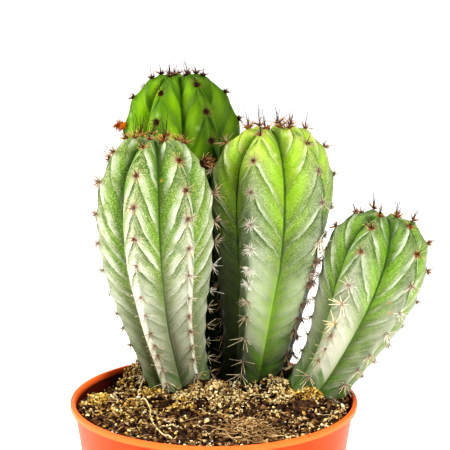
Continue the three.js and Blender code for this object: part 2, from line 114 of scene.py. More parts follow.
# Each stem: its axis from foot to tip with a sideways bow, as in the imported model, the bearing of its first
# rib, by what share slim ribs fall short, how the ribs turn on the way down, and the areoles' distances from
# the apex on the ribs that face the viewer. The lists go on by AREOLE_SPACING, and a rib that isn't named
# takes the list of the rib two further on, until one is named.
STEMS = {
    "stem_left": {
        "slot": "stem_skin_left", "ribs": 7, "first_rib": -20, "lean": (), "seed": 11,
        "foot": (-13, 19, 92.7), "tip": (-21.2, 9, 190.5), "bow": (-7.5, -5, 0),
        "radius": 21.3, "waist": 0.55, "shoulder": 0.65, "dome": 0.7,
        "turn": [(0, 4), (0.7, 4), (1, 10)],
        "areoles": {
            0: (2.5, 6, 13.3, 25.1, 34.8, 43.3, 52.9, 64.7, 71.9, 79.5, 84.6, 88.9, 94.5, 100.7),
            1: (2, 6.5, 19.3, 30.1, 38.6, 48.2, 58.7, 68.1, 75.4, 81.9, 88.6, 94.4, 101),
            2: (2.5, 11.3, 22.8, 34.5, 43.5, 52, 61.8, 71.6, 78.6, 86.5),
            6: (2, 7.7, 18.4, 29.8, 38.8, 47.9, 57.6, 66.5, 74.1, 80.1),
        },
    },
    "stem_centre": {
        "slot": "stem_skin_centre", "ribs": 6, "first_rib": -20, "lean": (0, 7, 4, 2, 1, 0), "seed": 29,
        "foot": (15, 20, 94), "tip": (20.8, 22, 192.5), "bow": (6.3, 0, 0),
        "radius": 23.2, "waist": 0.55, "shoulder": 0.71, "dome": 0.72,
        "slim": {2: [(0.3, 0), (0.45, 0.12), (0.65, 0.14), (0.85, 0.12), (1, 0.04)]},
        "turn": [(0, 0), (0.5, -1), (0.7, -6), (1, -8)],
        "areoles": {
            0: (2.5, 5.8, 12.1, 24.8, 35.5, 45.9, 55.4, 63.3, 68.8, 76, 82.4, 91.2, 100.3, 105.7),
            1: (4.2, 8.5, 19.1, 30, 39.3, 52.5, 59.9, 63.8, 68.3, 76, 81.3, 86, 95.5, 101.9),
            2: (2.5, 7, 13.2, 24, 34.3, 44),
            5: (2.5, 8, 18.5, 30.2, 39),
        },
    },
    "stem_back": {
        "slot": "stem_skin_back", "ribs": 7, "first_rib": -24, "lean": (), "seed": 37,
        "foot": (1.5, 39.1, 92), "tip": (-13.8, 56.8, 207.5), "bow": (-6.5, 7.3, 0),
        "radius": 23.2, "waist": 0.39, "shoulder": 0.64, "dome": 0.72,
        "turn": [(0, 2), (1, 0)],
        "areoles": {
            0: (2, 4.5, 9, 20.8, 32.9),
            1: (2.5, 6, 16.6, 29.8, 40.3),
            2: (3, 10, 22.6, 34.5),
            6: (3.5, 11.5, 23.4, 34.8),
        },
    },
    "stem_right": {
        "slot": "stem_skin_right", "ribs": 6, "first_rib": -15, "lean": (0, 5, 3, 2, -1, 0), "seed": 71,
        "foot": (37.25, 4.7, 96), "tip": (63.3, 7.7, 162.4), "bow": (6.8, 1, 0),
        "radius": 19.3, "waist": 0.555, "shoulder": 0.62, "dome": 0.68,
        "slim": {5: [(0.35, 0), (0.5, 0.08), (0.75, 0.1), (0.9, 0.05), (1, 0)]},
        "turn": [(0, -11), (0.8, -12), (1, -19)],
        "areoles": {
            0: (3, 8, 16, 26.3, 38.5, 46.3, 54.5, 59.4, 64.9, 69.7, 76.8),
            1: (4.2, 11.7, 22.9, 32.6, 42.3, 50.8, 59.9),
            2: (3, 9.5, 20.6, 29.8),
            5: (3, 11.7, 21.7),
        },
    },
}

# Skin colours, and how strongly each mark shows, from the apex down to the soil. Near the soil the body colours
# darken: painted shade. The edge is a painted shadow below each band, and the furrow is painted shade in the furrows.
# Tones make a flank paler or darker: rib, side and a table of values from -1 to 1. Above 0 a flank is paler skin with
# a painted sheen, and below 0 it has painted shade where a neighbouring stem keeps the light off, in part duller skin.
# A scar is rib, side, distance, radius, colour and strength; the pale spots high on the centre stem and on the back
# stem are painted highlights. The width is the bands', in parts of an areole's step, and the gloss the wax's.
SKINS = {
    "stem_left": {
        # Darker at the foot: painted shade near the soil.
        "body": [(0, "#667E22"), (0.18, "#71882A"), (0.4, "#747F44"), (0.6, "#767D5E"), (0.85, "#747A5E"),
                 (0.93, "#5E6A46"), (1, "#465234")],
        "lush_colour": "#6C980A", "width": 1.9, "gloss": 0.3,
        "band": [(0, 0.3), (0.1, 0.8), (0.4, 0.95), (0.55, 0.5), (0.7, 0.15), (1, 0.05)],
        "edge": [(0, 0.5), (0.1, 1), (0.5, 1), (0.65, 0.35), (1, 0.2)],
        "lush": [(0, 0.7), (0.35, 1), (0.5, 0.5), (0.7, 0.1), (1, 0.1)],
        "bloom": [(0, 0.1), (0.3, 0.15), (0.5, 0.3), (0.85, 0.25), (1, 0.2)],
        "frost": [(0, 0), (0.12, 0.05), (0.3, 0.15), (0.5, 0.45), (0.65, 0.5), (0.85, 0.35), (1, 0.1)],
        "streaks": [(0, 0.2), (0.15, 0.5), (0.45, 0.6), (0.6, 0.25), (1, 0.15)],
        "grain": [(0, 0.2), (0.15, 0.35), (0.45, 0.3), (0.6, 0.12), (1, 0.05)],
        "furrow": [(0, 1), (0.25, 0.85), (0.5, 0.6), (0.8, 0.7), (1, 0.85)],
        "vein": [(0, 0), (1, 0)],
        "leaf": [(0.84, 0), (0.9, 1), (1, 0.7)],
        "skin_sheen_shades": {(0, -1): [(0.15, 0), (0.4, 0.35), (0.6, 0.55), (0.9, 0.5), (0.96, 0)],
                  (1, 1): [(0.2, 0), (0.42, 0.7), (0.92, 0.85), (0.97, 0)],
                  (0, 1): [(0.5, 0), (0.7, 0.1), (0.95, 0)], (1, -1): [(0.3, 0), (0.45, 0.15), (0.9, 0.15), (1, 0)],
                  (6, 1): [(0.1, -0.1), (0.4, 0), (1, 0)]},
        "scars_and_highlights": ((1, -0.85, 17, 0.9, "#D9B23A", 0.8), (1, -0.12, 50.5, 1.3, "#8A6A32", 0.5),
                  (1, -0.25, 46, 3.2, "#44703A", 0.55), (1, -0.6, 33, 3.4, "#5C8A2C", 0.6)),
    },
    "stem_centre": {
        # Much darker at the foot: painted shade near the soil.
        "body": [(0, "#A2AE2A"), (0.16, "#A0B628"), (0.28, "#5E7622"), (0.45, "#526638"), (0.65, "#96A77C"),
                 (0.78, "#74845C"), (0.87, "#303E22"), (1, "#161E08")],
        "lush_colour": "#9CC800", "width": 0.7, "gloss": 0.3,
        "band": [(0, 0.3), (0.1, 0.5), (0.35, 0.55), (0.48, 0.2), (0.6, 0.05), (1, 0.05)],
        "edge": [(0, 0.5), (0.1, 0.8), (0.4, 0.9), (0.52, 0.15), (0.78, 0.1), (0.86, 0.7), (1, 1)],
        "lush": [(0, 1), (0.25, 0.9), (0.4, 0.35), (0.55, 0.25), (0.7, 0.45), (0.85, 0.3), (1, 0.1)],
        "bloom": [(0, 0.15), (0.3, 0.25), (0.5, 0.25), (0.8, 0.2), (1, 0.15)],
        "frost": [(0, 0), (0.2, 0.1), (0.4, 0.3), (0.6, 0.3), (0.8, 0.15), (1, 0)],
        "streaks": [(0, 0.1), (0.15, 0.15), (0.4, 0.2), (0.5, 0.1), (0.8, 0.12), (1, 0.3)],
        "grain": [(0, 0.1), (0.3, 0.25), (0.5, 0.2), (0.6, 0.05), (1, 0)],
        "furrow": [(0, 1), (0.3, 0.9), (0.5, 0.7), (0.65, 0.3), (0.85, 0.4), (1, 0.9)],
        "vein": [(0.4, 0), (0.6, 0.45), (0.76, 0.35), (0.88, 0)],
        "leaf": [(0.6, 0), (0.75, 0.35), (0.88, 0.5), (1, 0.3)],
        # Painted shade on the flanks that face the other stems, in part duller skin.
        "skin_sheen_shades": {(0, -1): [(0.2, 0), (0.4, -0.3), (0.7, -0.6), (1, -0.9)],
                  (5, 1): [(0.26, 0), (0.4, -0.4), (0.55, -0.8), (1, -1)],
                  (0, 1): [(0.25, 0), (0.34, 0), (0.8, 0.15), (0.95, -0.4)], (1, -1): [(0.6, 0), (0.8, 0), (1, -0.5)],
                  (1, 1): [(0.44, 0), (0.54, -0.6), (1, -0.9)], (2, -1): [(0.44, 0), (0.54, -0.7), (1, -0.9)],
                  (2, 1): [(0.44, 0), (0.54, -0.6), (1, -0.8)]},
        "scars_and_highlights": ((5, 0.75, 11.5, 1.2, "#B8803A", 0.5), (0, 0.5, 53.5, 1.0, "#A9A03A", 0.6),
                  (0, 0.45, 55.5, 1.8, "#6A8C3A", 0.6), (0, 0.5, 40, 5, "#6F8C44", 0.7),
                  # The next two pale spots are painted highlights.
                  (1, -0.4, 8, 2.4, "#C8D69A", 0.5), (0, 0.7, 14, 1.8, "#C4D490", 0.5)),
    },
    "stem_back": {
        # Darker below halfway: painted shade behind the front stems.
        "body": [(0, "#527404"), (0.2, "#608604"), (0.38, "#4C7002"), (0.55, "#284608"), (1, "#182808")],
        "lush_colour": "#9CC600", "width": 0.5, "gloss": 0.12,
        "band": [(0, 0), (0.2, 0.06), (1, 0.15)],
        "edge": [(0, 0.5), (0.2, 0.8), (1, 0.7)],
        "lush": [(0, 0.5), (0.12, 1), (0.4, 1), (0.55, 0.5), (1, 0.2)],
        "bloom": [(0, 0.05), (1, 0.15)],
        "frost": [(0, 0), (1, 0)],
        "streaks": [(0, 0.15), (1, 0.3)],
        "grain": [(0, 0.03), (1, 0.03)],
        "furrow": [(0, 1), (1, 1)],
        "vein": [(0, 0), (1, 0)],
        "leaf": [(0.9, 0), (1, 1)],
        # Painted shade on the flanks hidden behind the front stems.
        "skin_sheen_shades": {(1, 1): [(0, -0.2), (0.15, -0.5), (0.5, -0.7)], (2, -1): [(0, -0.3), (0.3, -0.6)],
                  (2, 1): [(0, -0.3), (0.3, -0.6)], (6, -1): [(0, 0), (0.2, -0.4)],
                  (1, -1): [(0.05, 0), (0.2, -0.3), (0.5, -0.5)]},
        # These four pale spots are painted highlights.
        "scars_and_highlights": ((0, -0.05, 29.5, 3, "#A8C878", 0.4), (0, 0.3, 38, 3.2, "#9CC060", 0.35),
                  (6, 0.2, 28, 2.2, "#B4CC84", 0.4), (1, -0.4, 30.5, 2.2, "#A4C468", 0.35)),
    },
    "stem_right": {
        # Darker at the foot: painted shade near the soil.
        "body": [(0, "#50721A"), (0.2, "#5C741C"), (0.42, "#56603A"), (0.6, "#666E4C"), (0.8, "#666E50"),
                 (0.92, "#4C5A30"), (1, "#3A5024")],
        "lush_colour": "#78A604", "width": 1.1, "gloss": 0.3,
        "band": [(0, 0.4), (0.1, 0.65), (0.4, 0.6), (0.6, 0.2), (1, 0.05)],
        "edge": [(0, 1), (0.35, 1), (0.5, 0.45), (0.7, 0.12), (1, 0.15)],
        "lush": [(0, 1), (0.4, 1), (0.52, 0.4), (1, 0.25)],
        "bloom": [(0, 0.2), (0.3, 0.25), (0.5, 0.25), (0.9, 0.2), (1, 0.2)],
        "frost": [(0, 0), (0.2, 0.1), (0.4, 0.25), (0.9, 0.3), (1, 0)],
        "streaks": [(0, 0.6), (0.35, 0.5), (0.5, 0.25), (0.7, 0.15), (1, 0.15)],
        "grain": [(0, 0.2), (0.4, 0.2), (0.6, 0.08), (1, 0.02)],
        "furrow": [(0, 1), (0.35, 0.85), (0.6, 0.5), (1, 0.4)],
        "vein": [(0.2, 0), (0.4, 0.25), (0.7, 0.15), (1, 0.15)],
        "leaf": [(0.8, 0), (0.88, 1), (1, 0.8)],
        "skin_sheen_shades": {(0, 1): [(0.2, 0), (0.5, 0.1), (0.65, 0.35), (0.86, 0.4), (0.93, 0)],
                  (0, -1): [(0.1, 0), (0.4, 0), (0.6, 0.15), (0.86, 0.25), (0.93, 0)],
                  (5, 1): [(0.1, 0), (0.35, -0.05), (0.55, 0.12), (1, 0)],
                  (5, -1): [(0.1, 0), (0.35, -0.05), (0.55, 0.12), (1, 0)]},
        "scars_and_highlights": ((0, -0.1, 14, 1.1, "#D8D070", 0.6), (1, -0.45, 34.5, 0.7, "#A5763A", 0.6),
                  (1, -0.3, 40, 0.6, "#C08A3A", 0.6), (0, -0.3, 69, 2.6, "#6E9A34", 0.6)),
    },
}
BAND_COLOUR = "#E2E6D6"
BLOOM_COLOUR = "#C2C39E"
GRAIN_COLOUR = "#DDE0AE"
SHADE_COLOUR = "#2C500E"
# The colour of the painted shade in the furrows.
FURROW_SHADE_COLOUR = "#23480E"
# The paler flanks' colour, with a painted sheen, and the painted shade of darker flanks.
PALE_SHEEN_COLOUR = "#FAF5E8"
DULL_SHADE_COLOUR = "#20280F"
LEAF_COLOUR = "#487628"


def linear(colour):
    """The linear RGBA of an sRGB hex colour."""
    parts = [int(colour[i:i + 2], 16) / 255 for i in (1, 3, 5)]
    return tuple(p / 12.92 if p <= 0.04045 else ((p + 0.055) / 1.055) ** 2.4 for p in parts) + (1.0,)


def smooth(x):
    """A soft step from 0 to 1."""
    t = np.clip(x, 0, 1)
    return t * t * (3 - 2 * t)


def along(table, x):
    """The value at x on straight lines through the pairs of a table."""
    pairs = np.array(table, float)
    return np.interp(x, pairs[:, 0], pairs[:, 1])


def rounded(table, x):
    """The value at x on soft steps through the pairs of a table."""
    pairs = np.array(table, float)
    place = np.interp(x, pairs[:, 0], np.arange(len(pairs)))
    low = np.minimum(np.floor(place).astype(int), len(pairs) - 2)
    part = smooth(place - low)
    return pairs[low, 1] * (1 - part) + pairs[low + 1, 1] * part


def noise(points, size, seed=0):
    """Smooth noise from -1 to 1 whose lumps are about size wide."""
    cell = np.asarray(points, float) / size + seed * 7.31
    low = np.floor(cell).astype(np.int64)
    part = smooth(cell - low)
    total = np.zeros(cell.shape[:-1])
    for corner in itertools.product((0, 1), repeat=3):
        key = ((low + corner) * (73856093, 19349663, 83492791)).sum(-1)
        key = (key ^ (key >> 13)) * 1274126177
        value = ((key ^ (key >> 16)) & 0xFFFF) / 0x7FFF - 1
        total += value * np.where(corner, part, 1 - part).prod(-1)
    return total


def unit(vectors):
    """The same ways, one unit long."""
    vectors = np.asarray(vectors, float)
    return vectors / np.maximum(np.linalg.norm(vectors, axis=-1, keepdims=True), 1e-12)


def add_node(tree, kind, inputs=None, stops=None, **settings):
    """Adds a node, sets it up and links or fills its inputs. Stops are the places and colours of a ramp."""
    made = tree.nodes.new(kind)
    for name, value in settings.items():
        setattr(made, name, value)
    for name, value in (inputs or {}).items():
        if isinstance(value, bpy.types.NodeSocket):
            tree.links.new(value, made.inputs[name])
        else:
            made.inputs[name].default_value = value
    if stops:
        elements = made.color_ramp.elements
        while len(elements) < len(stops):
            elements.new(1)
        for element, (place, value) in zip(elements, stops):
            element.position = place
            element.color = linear(value) if isinstance(value, str) else (value, value, value, 1)
    return made


def new_material(name):
    """An empty node material, its tree and the place of each point on the object."""
    material = bpy.data.materials.new(name)
    material.use_nodes = True
    tree = material.node_tree
    tree.nodes.clear()
    return material, tree, add_node(tree, "ShaderNodeTexCoord").outputs["Object"]


def finish_material(tree, sockets):
    """Ends a material with the standard shader, its links and constants, and the output."""
    shader = add_node(tree, "ShaderNodeBsdfPrincipled", sockets)
    add_node(tree, "ShaderNodeOutputMaterial", {"Surface": shader.outputs[0]})


def deselect_all():
    bpy.ops.object.select_all(action="DESELECT")


def select_only(piece):
    deselect_all()
    piece.select_set(True)
    bpy.context.view_layer.objects.active = piece


def joined(pieces):
    """Several pieces made into one."""
    select_only(pieces[0])
    for piece in pieces[1:]:
        piece.select_set(True)
    bpy.ops.object.join()
    return bpy.context.object


def corners_of(piece):
    """The places of a piece's corners."""
    return np.array([tuple(vertex.co) for vertex in piece.data.vertices])


def cut_into_rings(rod, cuts):
    """Cuts a rod that stands one unit high across at even heights, so that it can bend there."""
    bpy.ops.object.mode_set(mode="EDIT")
    for cut in range(1, cuts + 1):
        bpy.ops.mesh.select_all(action="SELECT")
        bpy.ops.mesh.bisect(plane_co=(0, 0, cut / (cuts + 1)), plane_no=(0, 0, 1))
    bpy.ops.object.mode_set(mode="OBJECT")
    bpy.ops.object.transform_apply(location=True, rotation=True, scale=True)
    return rod


def finish_piece(piece, name, material, slot, *nodes):
    """Names a piece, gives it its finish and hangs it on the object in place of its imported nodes."""
    piece.name = name
    piece.data.name = name
    piece.data.materials.clear()
    piece.data.materials.append(material)
    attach(piece, "root")
    for node in nodes:
        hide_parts(node)
    return piece


def closed_shell(places, coordinates=None, layers=None):
    """A closed skin over rows of places that run downwards, shaped from a grid primitive.

    The first and last rows each meet in a point, and the last column repeats the first. The coordinates are
    the two values of each face's corners in the pattern that follows the surface, and each layer holds one
    value for every place.
    """
    rows, columns = places.shape[0], places.shape[1] - 1
    deselect_all()
    bpy.ops.mesh.primitive_grid_add(x_subdivisions=columns, y_subdivisions=rows - 1, size=1, calc_uvs=True)
    piece = bpy.context.object
    mesh = piece.data
    flat = np.zeros(len(mesh.vertices) * 3)
    mesh.vertices.foreach_get("co", flat)
    flat = flat.reshape(-1, 3)
    column = np.rint((flat[:, 0] + 0.5) * columns).astype(int)
    row = np.rint((0.5 - flat[:, 1]) * (rows - 1)).astype(int)
    mesh.vertices.foreach_set("co", (places[row, column] * MM).ravel())
    for name, values in (layers or {}).items():
        layer = mesh.attributes.new(name, "FLOAT", "POINT")
        layer.data.foreach_set("value", np.asarray(values, np.float32)[row, column])
    if coordinates is not None:
        corner = np.zeros(len(mesh.loops), int)
        mesh.loops.foreach_get("vertex_index", corner)
        corner_row = row[corner].reshape(-1, 4)
        corner_column = column[corner].reshape(-1, 4)
        face_column = np.repeat(corner_column.min(1)[:, None], 4, 1)
        values = coordinates(corner_row, corner_column, face_column)
        mesh.uv_layers[0].data.foreach_set("uv", np.stack(values, -1).astype(np.float32).ravel())
    bpy.ops.object.mode_set(mode="EDIT")
    bpy.ops.mesh.select_all(action="SELECT")
    bpy.ops.mesh.remove_doubles(threshold=0.002 * MM)
    bpy.ops.mesh.normals_make_consistent(inside=False)
    bpy.ops.object.mode_set(mode="OBJECT")
    bpy.ops.object.shade_smooth()
    return piece


def joined_copies(name, template, places, tints):
    """One mesh of many copies of a template's faces. Each copy has its own corners and tints."""
    corners = len(template.data.vertices)
    faces = [list(face.vertices) for face in template.data.polygons]
    sizes = np.array([len(face) for face in faces])
    flat = np.concatenate([np.array(face) for face in faces])
    count = len(places)
    loops = (np.arange(count)[:, None] * corners + flat).ravel()
    totals = np.tile(sizes, count)
    mesh = bpy.data.meshes.new(name)
    mesh.vertices.add(count * corners)
    mesh.vertices.foreach_set("co", (np.asarray(places) * MM).astype(np.float32).ravel())
    mesh.loops.add(len(loops))
    mesh.loops.foreach_set("vertex_index", loops.astype(np.int32))
    mesh.polygons.add(len(totals))
    mesh.polygons.foreach_set("loop_start", np.concatenate(([0], np.cumsum(totals)[:-1])).astype(np.int32))
    mesh.update(calc_edges=True)
    layer = mesh.attributes.new("tint", "FLOAT_COLOR", "POINT")
    layer.data.foreach_set("color", np.asarray(tints, np.float32).reshape(-1, 4).ravel())
    mesh.validate()
    piece = bpy.data.objects.new(name, mesh)
    bpy.context.scene.collection.objects.link(piece)
    return piece


def remove(piece):
    """Takes a piece and its mesh away."""
    mesh = piece.data
    bpy.data.objects.remove(piece)
    bpy.data.meshes.remove(mesh)


class Stem:
    """One stem's measures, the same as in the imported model, with finer relief."""

    def __init__(self, spec):
        self.spec = spec
        self.foot = np.array(spec["foot"], float)
        self.tip = np.array(spec["tip"], float)
        self.middle = (self.foot + self.tip) / 2 + np.array(spec["bow"], float)
        self.height = np.linalg.norm(self.tip - self.foot)
        self.body_height = spec["dome"] * self.height
        self.rise = self.height - self.body_height
        self.radius = spec["radius"]
        self.dome_length = math.pi / 2 * math.sqrt((self.rise ** 2 + self.radius ** 2) / 2)
        self.crest_length = self.body_height + self.dome_length

    def crest(self, distance):
        """Radius and height of a crest at distances from the apex."""
        spec = self.spec
        below = np.maximum(distance - self.crest_length, 0)
        taper = 1 - CROWN_TAPER * smooth(below / CROWN_LENGTH)
        from_foot = self.crest_length - distance
        body = np.clip(from_foot, 0, self.body_height)
        swelled = spec["waist"] + (1 - spec["waist"]) * smooth(body / self.height / spec["shoulder"])
        turn = np.clip((from_foot - self.body_height) / self.dome_length, 0, 1) * math.pi / 2
        r = self.radius * swelled * np.maximum(np.cos(turn), 0) ** (2 / BODY_CURVE) * taper
        dip = APEX_DIP * np.exp(-((r / (0.3 * self.radius)) ** 2)) * (from_foot > self.body_height)
        return r, body + self.rise * np.sin(turn) ** (2 / BODY_CURVE) - dip - below

    def outward(self, distance):
        """The outward direction of the crest line, in radius and height."""
        step = 0.25
        r0, z0 = self.crest(np.maximum(distance - step, 0))
        r1, z1 = self.crest(distance + step)
        length = np.hypot(r1 - r0, z1 - z0)
        return (z0 - z1) / length, (r1 - r0) / length

    def place(self, radius, angle, z):
        """From the straight stem's own measures to places on the bent axis. Angle 0 faces the viewer."""
        radius, angle, z = np.broadcast_arrays(radius, angle, z)
        share = (z / self.height)[..., None]
        t = np.maximum(share, 0)
        point = (1 - t) ** 2 * self.foot + 2 * t * (1 - t) * self.middle + t * t * self.tip
        point = point + 2 * (self.middle - self.foot) * np.minimum(share, 0)
        axis = unit((1 - t) * (self.middle - self.foot) + t * (self.tip - self.middle))
        right = unit(np.array([1.0, 0, 0]) - axis * axis[..., :1])
        back = np.cross(axis, right)
        return point + right * (radius * np.sin(angle))[..., None] - back * (radius * np.cos(angle))[..., None]

    def rib_angle(self, rib, share):
        """A rib's bearing, in radians, at a share of the way down."""
        rib = np.asarray(rib)
        ribs, lean = self.spec["ribs"], self.spec["lean"] or (0,) * self.spec["ribs"]
        bearing = self.spec["first_rib"] + rib * 360 / ribs + np.array(lean)[rib % ribs]
        return np.radians(bearing + along(self.spec["turn"], share))

    def areoles(self, rib):
        """The areoles' distances from the apex on one rib."""
        known = self.spec["areoles"]
        rib = rib % self.spec["ribs"]
        while rib not in known:
            rib = (rib + 2) % self.spec["ribs"]
        found = list(known[rib])
        while found[-1] < self.crest_length + 12:
            found.append(found[-1] + float(along(AREOLE_SPACING, found[-1] / self.crest_length)))
        return np.array(found)

    def areole_number(self, rib, distance):
        """How many areoles lie above a distance on a rib, as a smooth count."""
        places = self.areoles(rib)
        inside = np.interp(distance, places, np.arange(len(places)))
        above = np.minimum(distance - places[0], 0) / AREOLE_SPACING[0][1]
        return inside + above

    def shortfall(self, rib, side, share):
        """How far the skin falls short at places on a rib, as a share of the radius."""
        slim, ribs = self.spec.get("slim", {}), self.spec["ribs"]
        own, left, right = (along(slim.get((rib + step) % ribs, [(0, 0)]), share) for step in (0, -1, 1))
        part = np.abs(side) / 2
        return own * (1 - part) + np.where(side < 0, left, right) * part

    def skin(self, rib, side, distance, extra=0.0):
        """Places on one rib's skin. The side runs from -1 to 1, from furrow to furrow."""
        share = distance / self.crest_length
        flank = np.abs(side)
        lower = distance + along(CHEVRON_DROP, share) * flank
        r, z = self.crest(lower)
        r = r * (1 - self.shortfall(rib, side, share))
        out_r, out_z = self.outward(lower)
        cut = along(FURROW_DEPTH, share) * r ** 0.6 * self.radius ** 0.4 * flank ** 1.6
        part = (self.areole_number(rib, distance) - along(CHEVRON_FALL, share) * flank) % 1.0
        fade = (1 - flank ** 2.5) * (1 - 0.25 * np.exp(-((flank / 0.2) ** 2)))
        step = rounded(STEP_SHAPE, part) * along(CHEVRON_RELIEF, share) * fade
        whole = self.areole_number(rib, distance) % 1.0
        from_areole = np.minimum(whole, 1 - whole) * along(AREOLE_SPACING, share)
        width = np.maximum(r, 1) * FULL_TURN / self.spec["ribs"] / 2
        high, long, wide = KNOB
        knob = high * np.exp(-((from_areole / long) ** 2) - ((flank * width / wide) ** 2))
        knob = knob * (share < 1) * smooth(r / 5)
        raised = step + knob - cut + extra
        here = self.rib_angle(rib, share)
        beside = self.rib_angle(rib + np.where(side < 0, -1, 1), share)
        turn = np.where(beside - here > math.pi, -FULL_TURN, 0) + np.where(beside - here < -math.pi, FULL_TURN, 0)
        angle = here + (beside + turn - here) * flank / 2
        return self.place(np.maximum(r + out_r * raised, 0), angle, z + out_z * raised)


FLANK_STEPS = 13
ROW_STEP = 0.5
CROWN_STEP = 3.0


def stem_skin(name):
    """The ribbed skin of one stem, from apex to root crown, with chevron steps and areole knobs."""
    stem = Stem(STEMS[name])
    ribs = stem.spec["ribs"]
    per_rib = 2 * FLANK_STEPS
    columns = ribs * per_rib
    shown = np.arange(0, stem.crest_length + 2, ROW_STEP)
    hidden = np.arange(shown[-1] + CROWN_STEP, stem.crest_length + CROWN_LENGTH, CROWN_STEP)
    distances = np.concatenate((shown, hidden, [stem.crest_length + CROWN_LENGTH]))
    shares = distances / stem.crest_length
    places = np.zeros((len(distances), columns + 1, 3))
    skin_sheen_shades = np.zeros((len(distances), columns + 1))
    for column in range(columns + 1):
        rib = column // per_rib
        side = 2 * (column % per_rib) / per_rib - 1
        places[:, column] = stem.skin(rib, np.full(len(distances), side), distances)
        # Flank tones: above 0 paler skin with a painted sheen, below 0 painted shade, in part duller skin.
        table = SKINS[name]["skin_sheen_shades"].get((rib % ribs, -1 if side < 0 else 1), [(0, 0), (1, 0)])
        skin_sheen_shades[:, column] = along(table, shares) * smooth(abs(side) * 8)
    places[0] = places[0].mean(0)
    places[-1] = places[-1].mean(0)
    wave = sum(noise(places, size, stem.spec["seed"]) * high for size, high in SKIN_WAVES)
    axis_point = stem.place(0, 0, (places[..., 2] - stem.foot[2]) / (stem.tip[2] - stem.foot[2]) * stem.height)
    places = places + unit(places - axis_point) * (wave * smooth(distances / 6)[:, None])[..., None]

    def pattern(row, column, face_column):
        rib = face_column // per_rib
        across = column / per_rib - 0.5
        down = np.zeros(row.shape)
        for one in range(ribs):
            numbers = stem.areole_number(one, distances)
            down = np.where(rib == one, numbers[row], down)
        return across, down

    row_shares = np.repeat(shares[:, None], columns + 1, 1)
    piece = closed_shell(places, pattern, {"row_share": row_shares, "skin_sheen_shade": skin_sheen_shades / 2 + 0.5})
    piece.data.uv_layers[0].name = "ribs"
    return piece


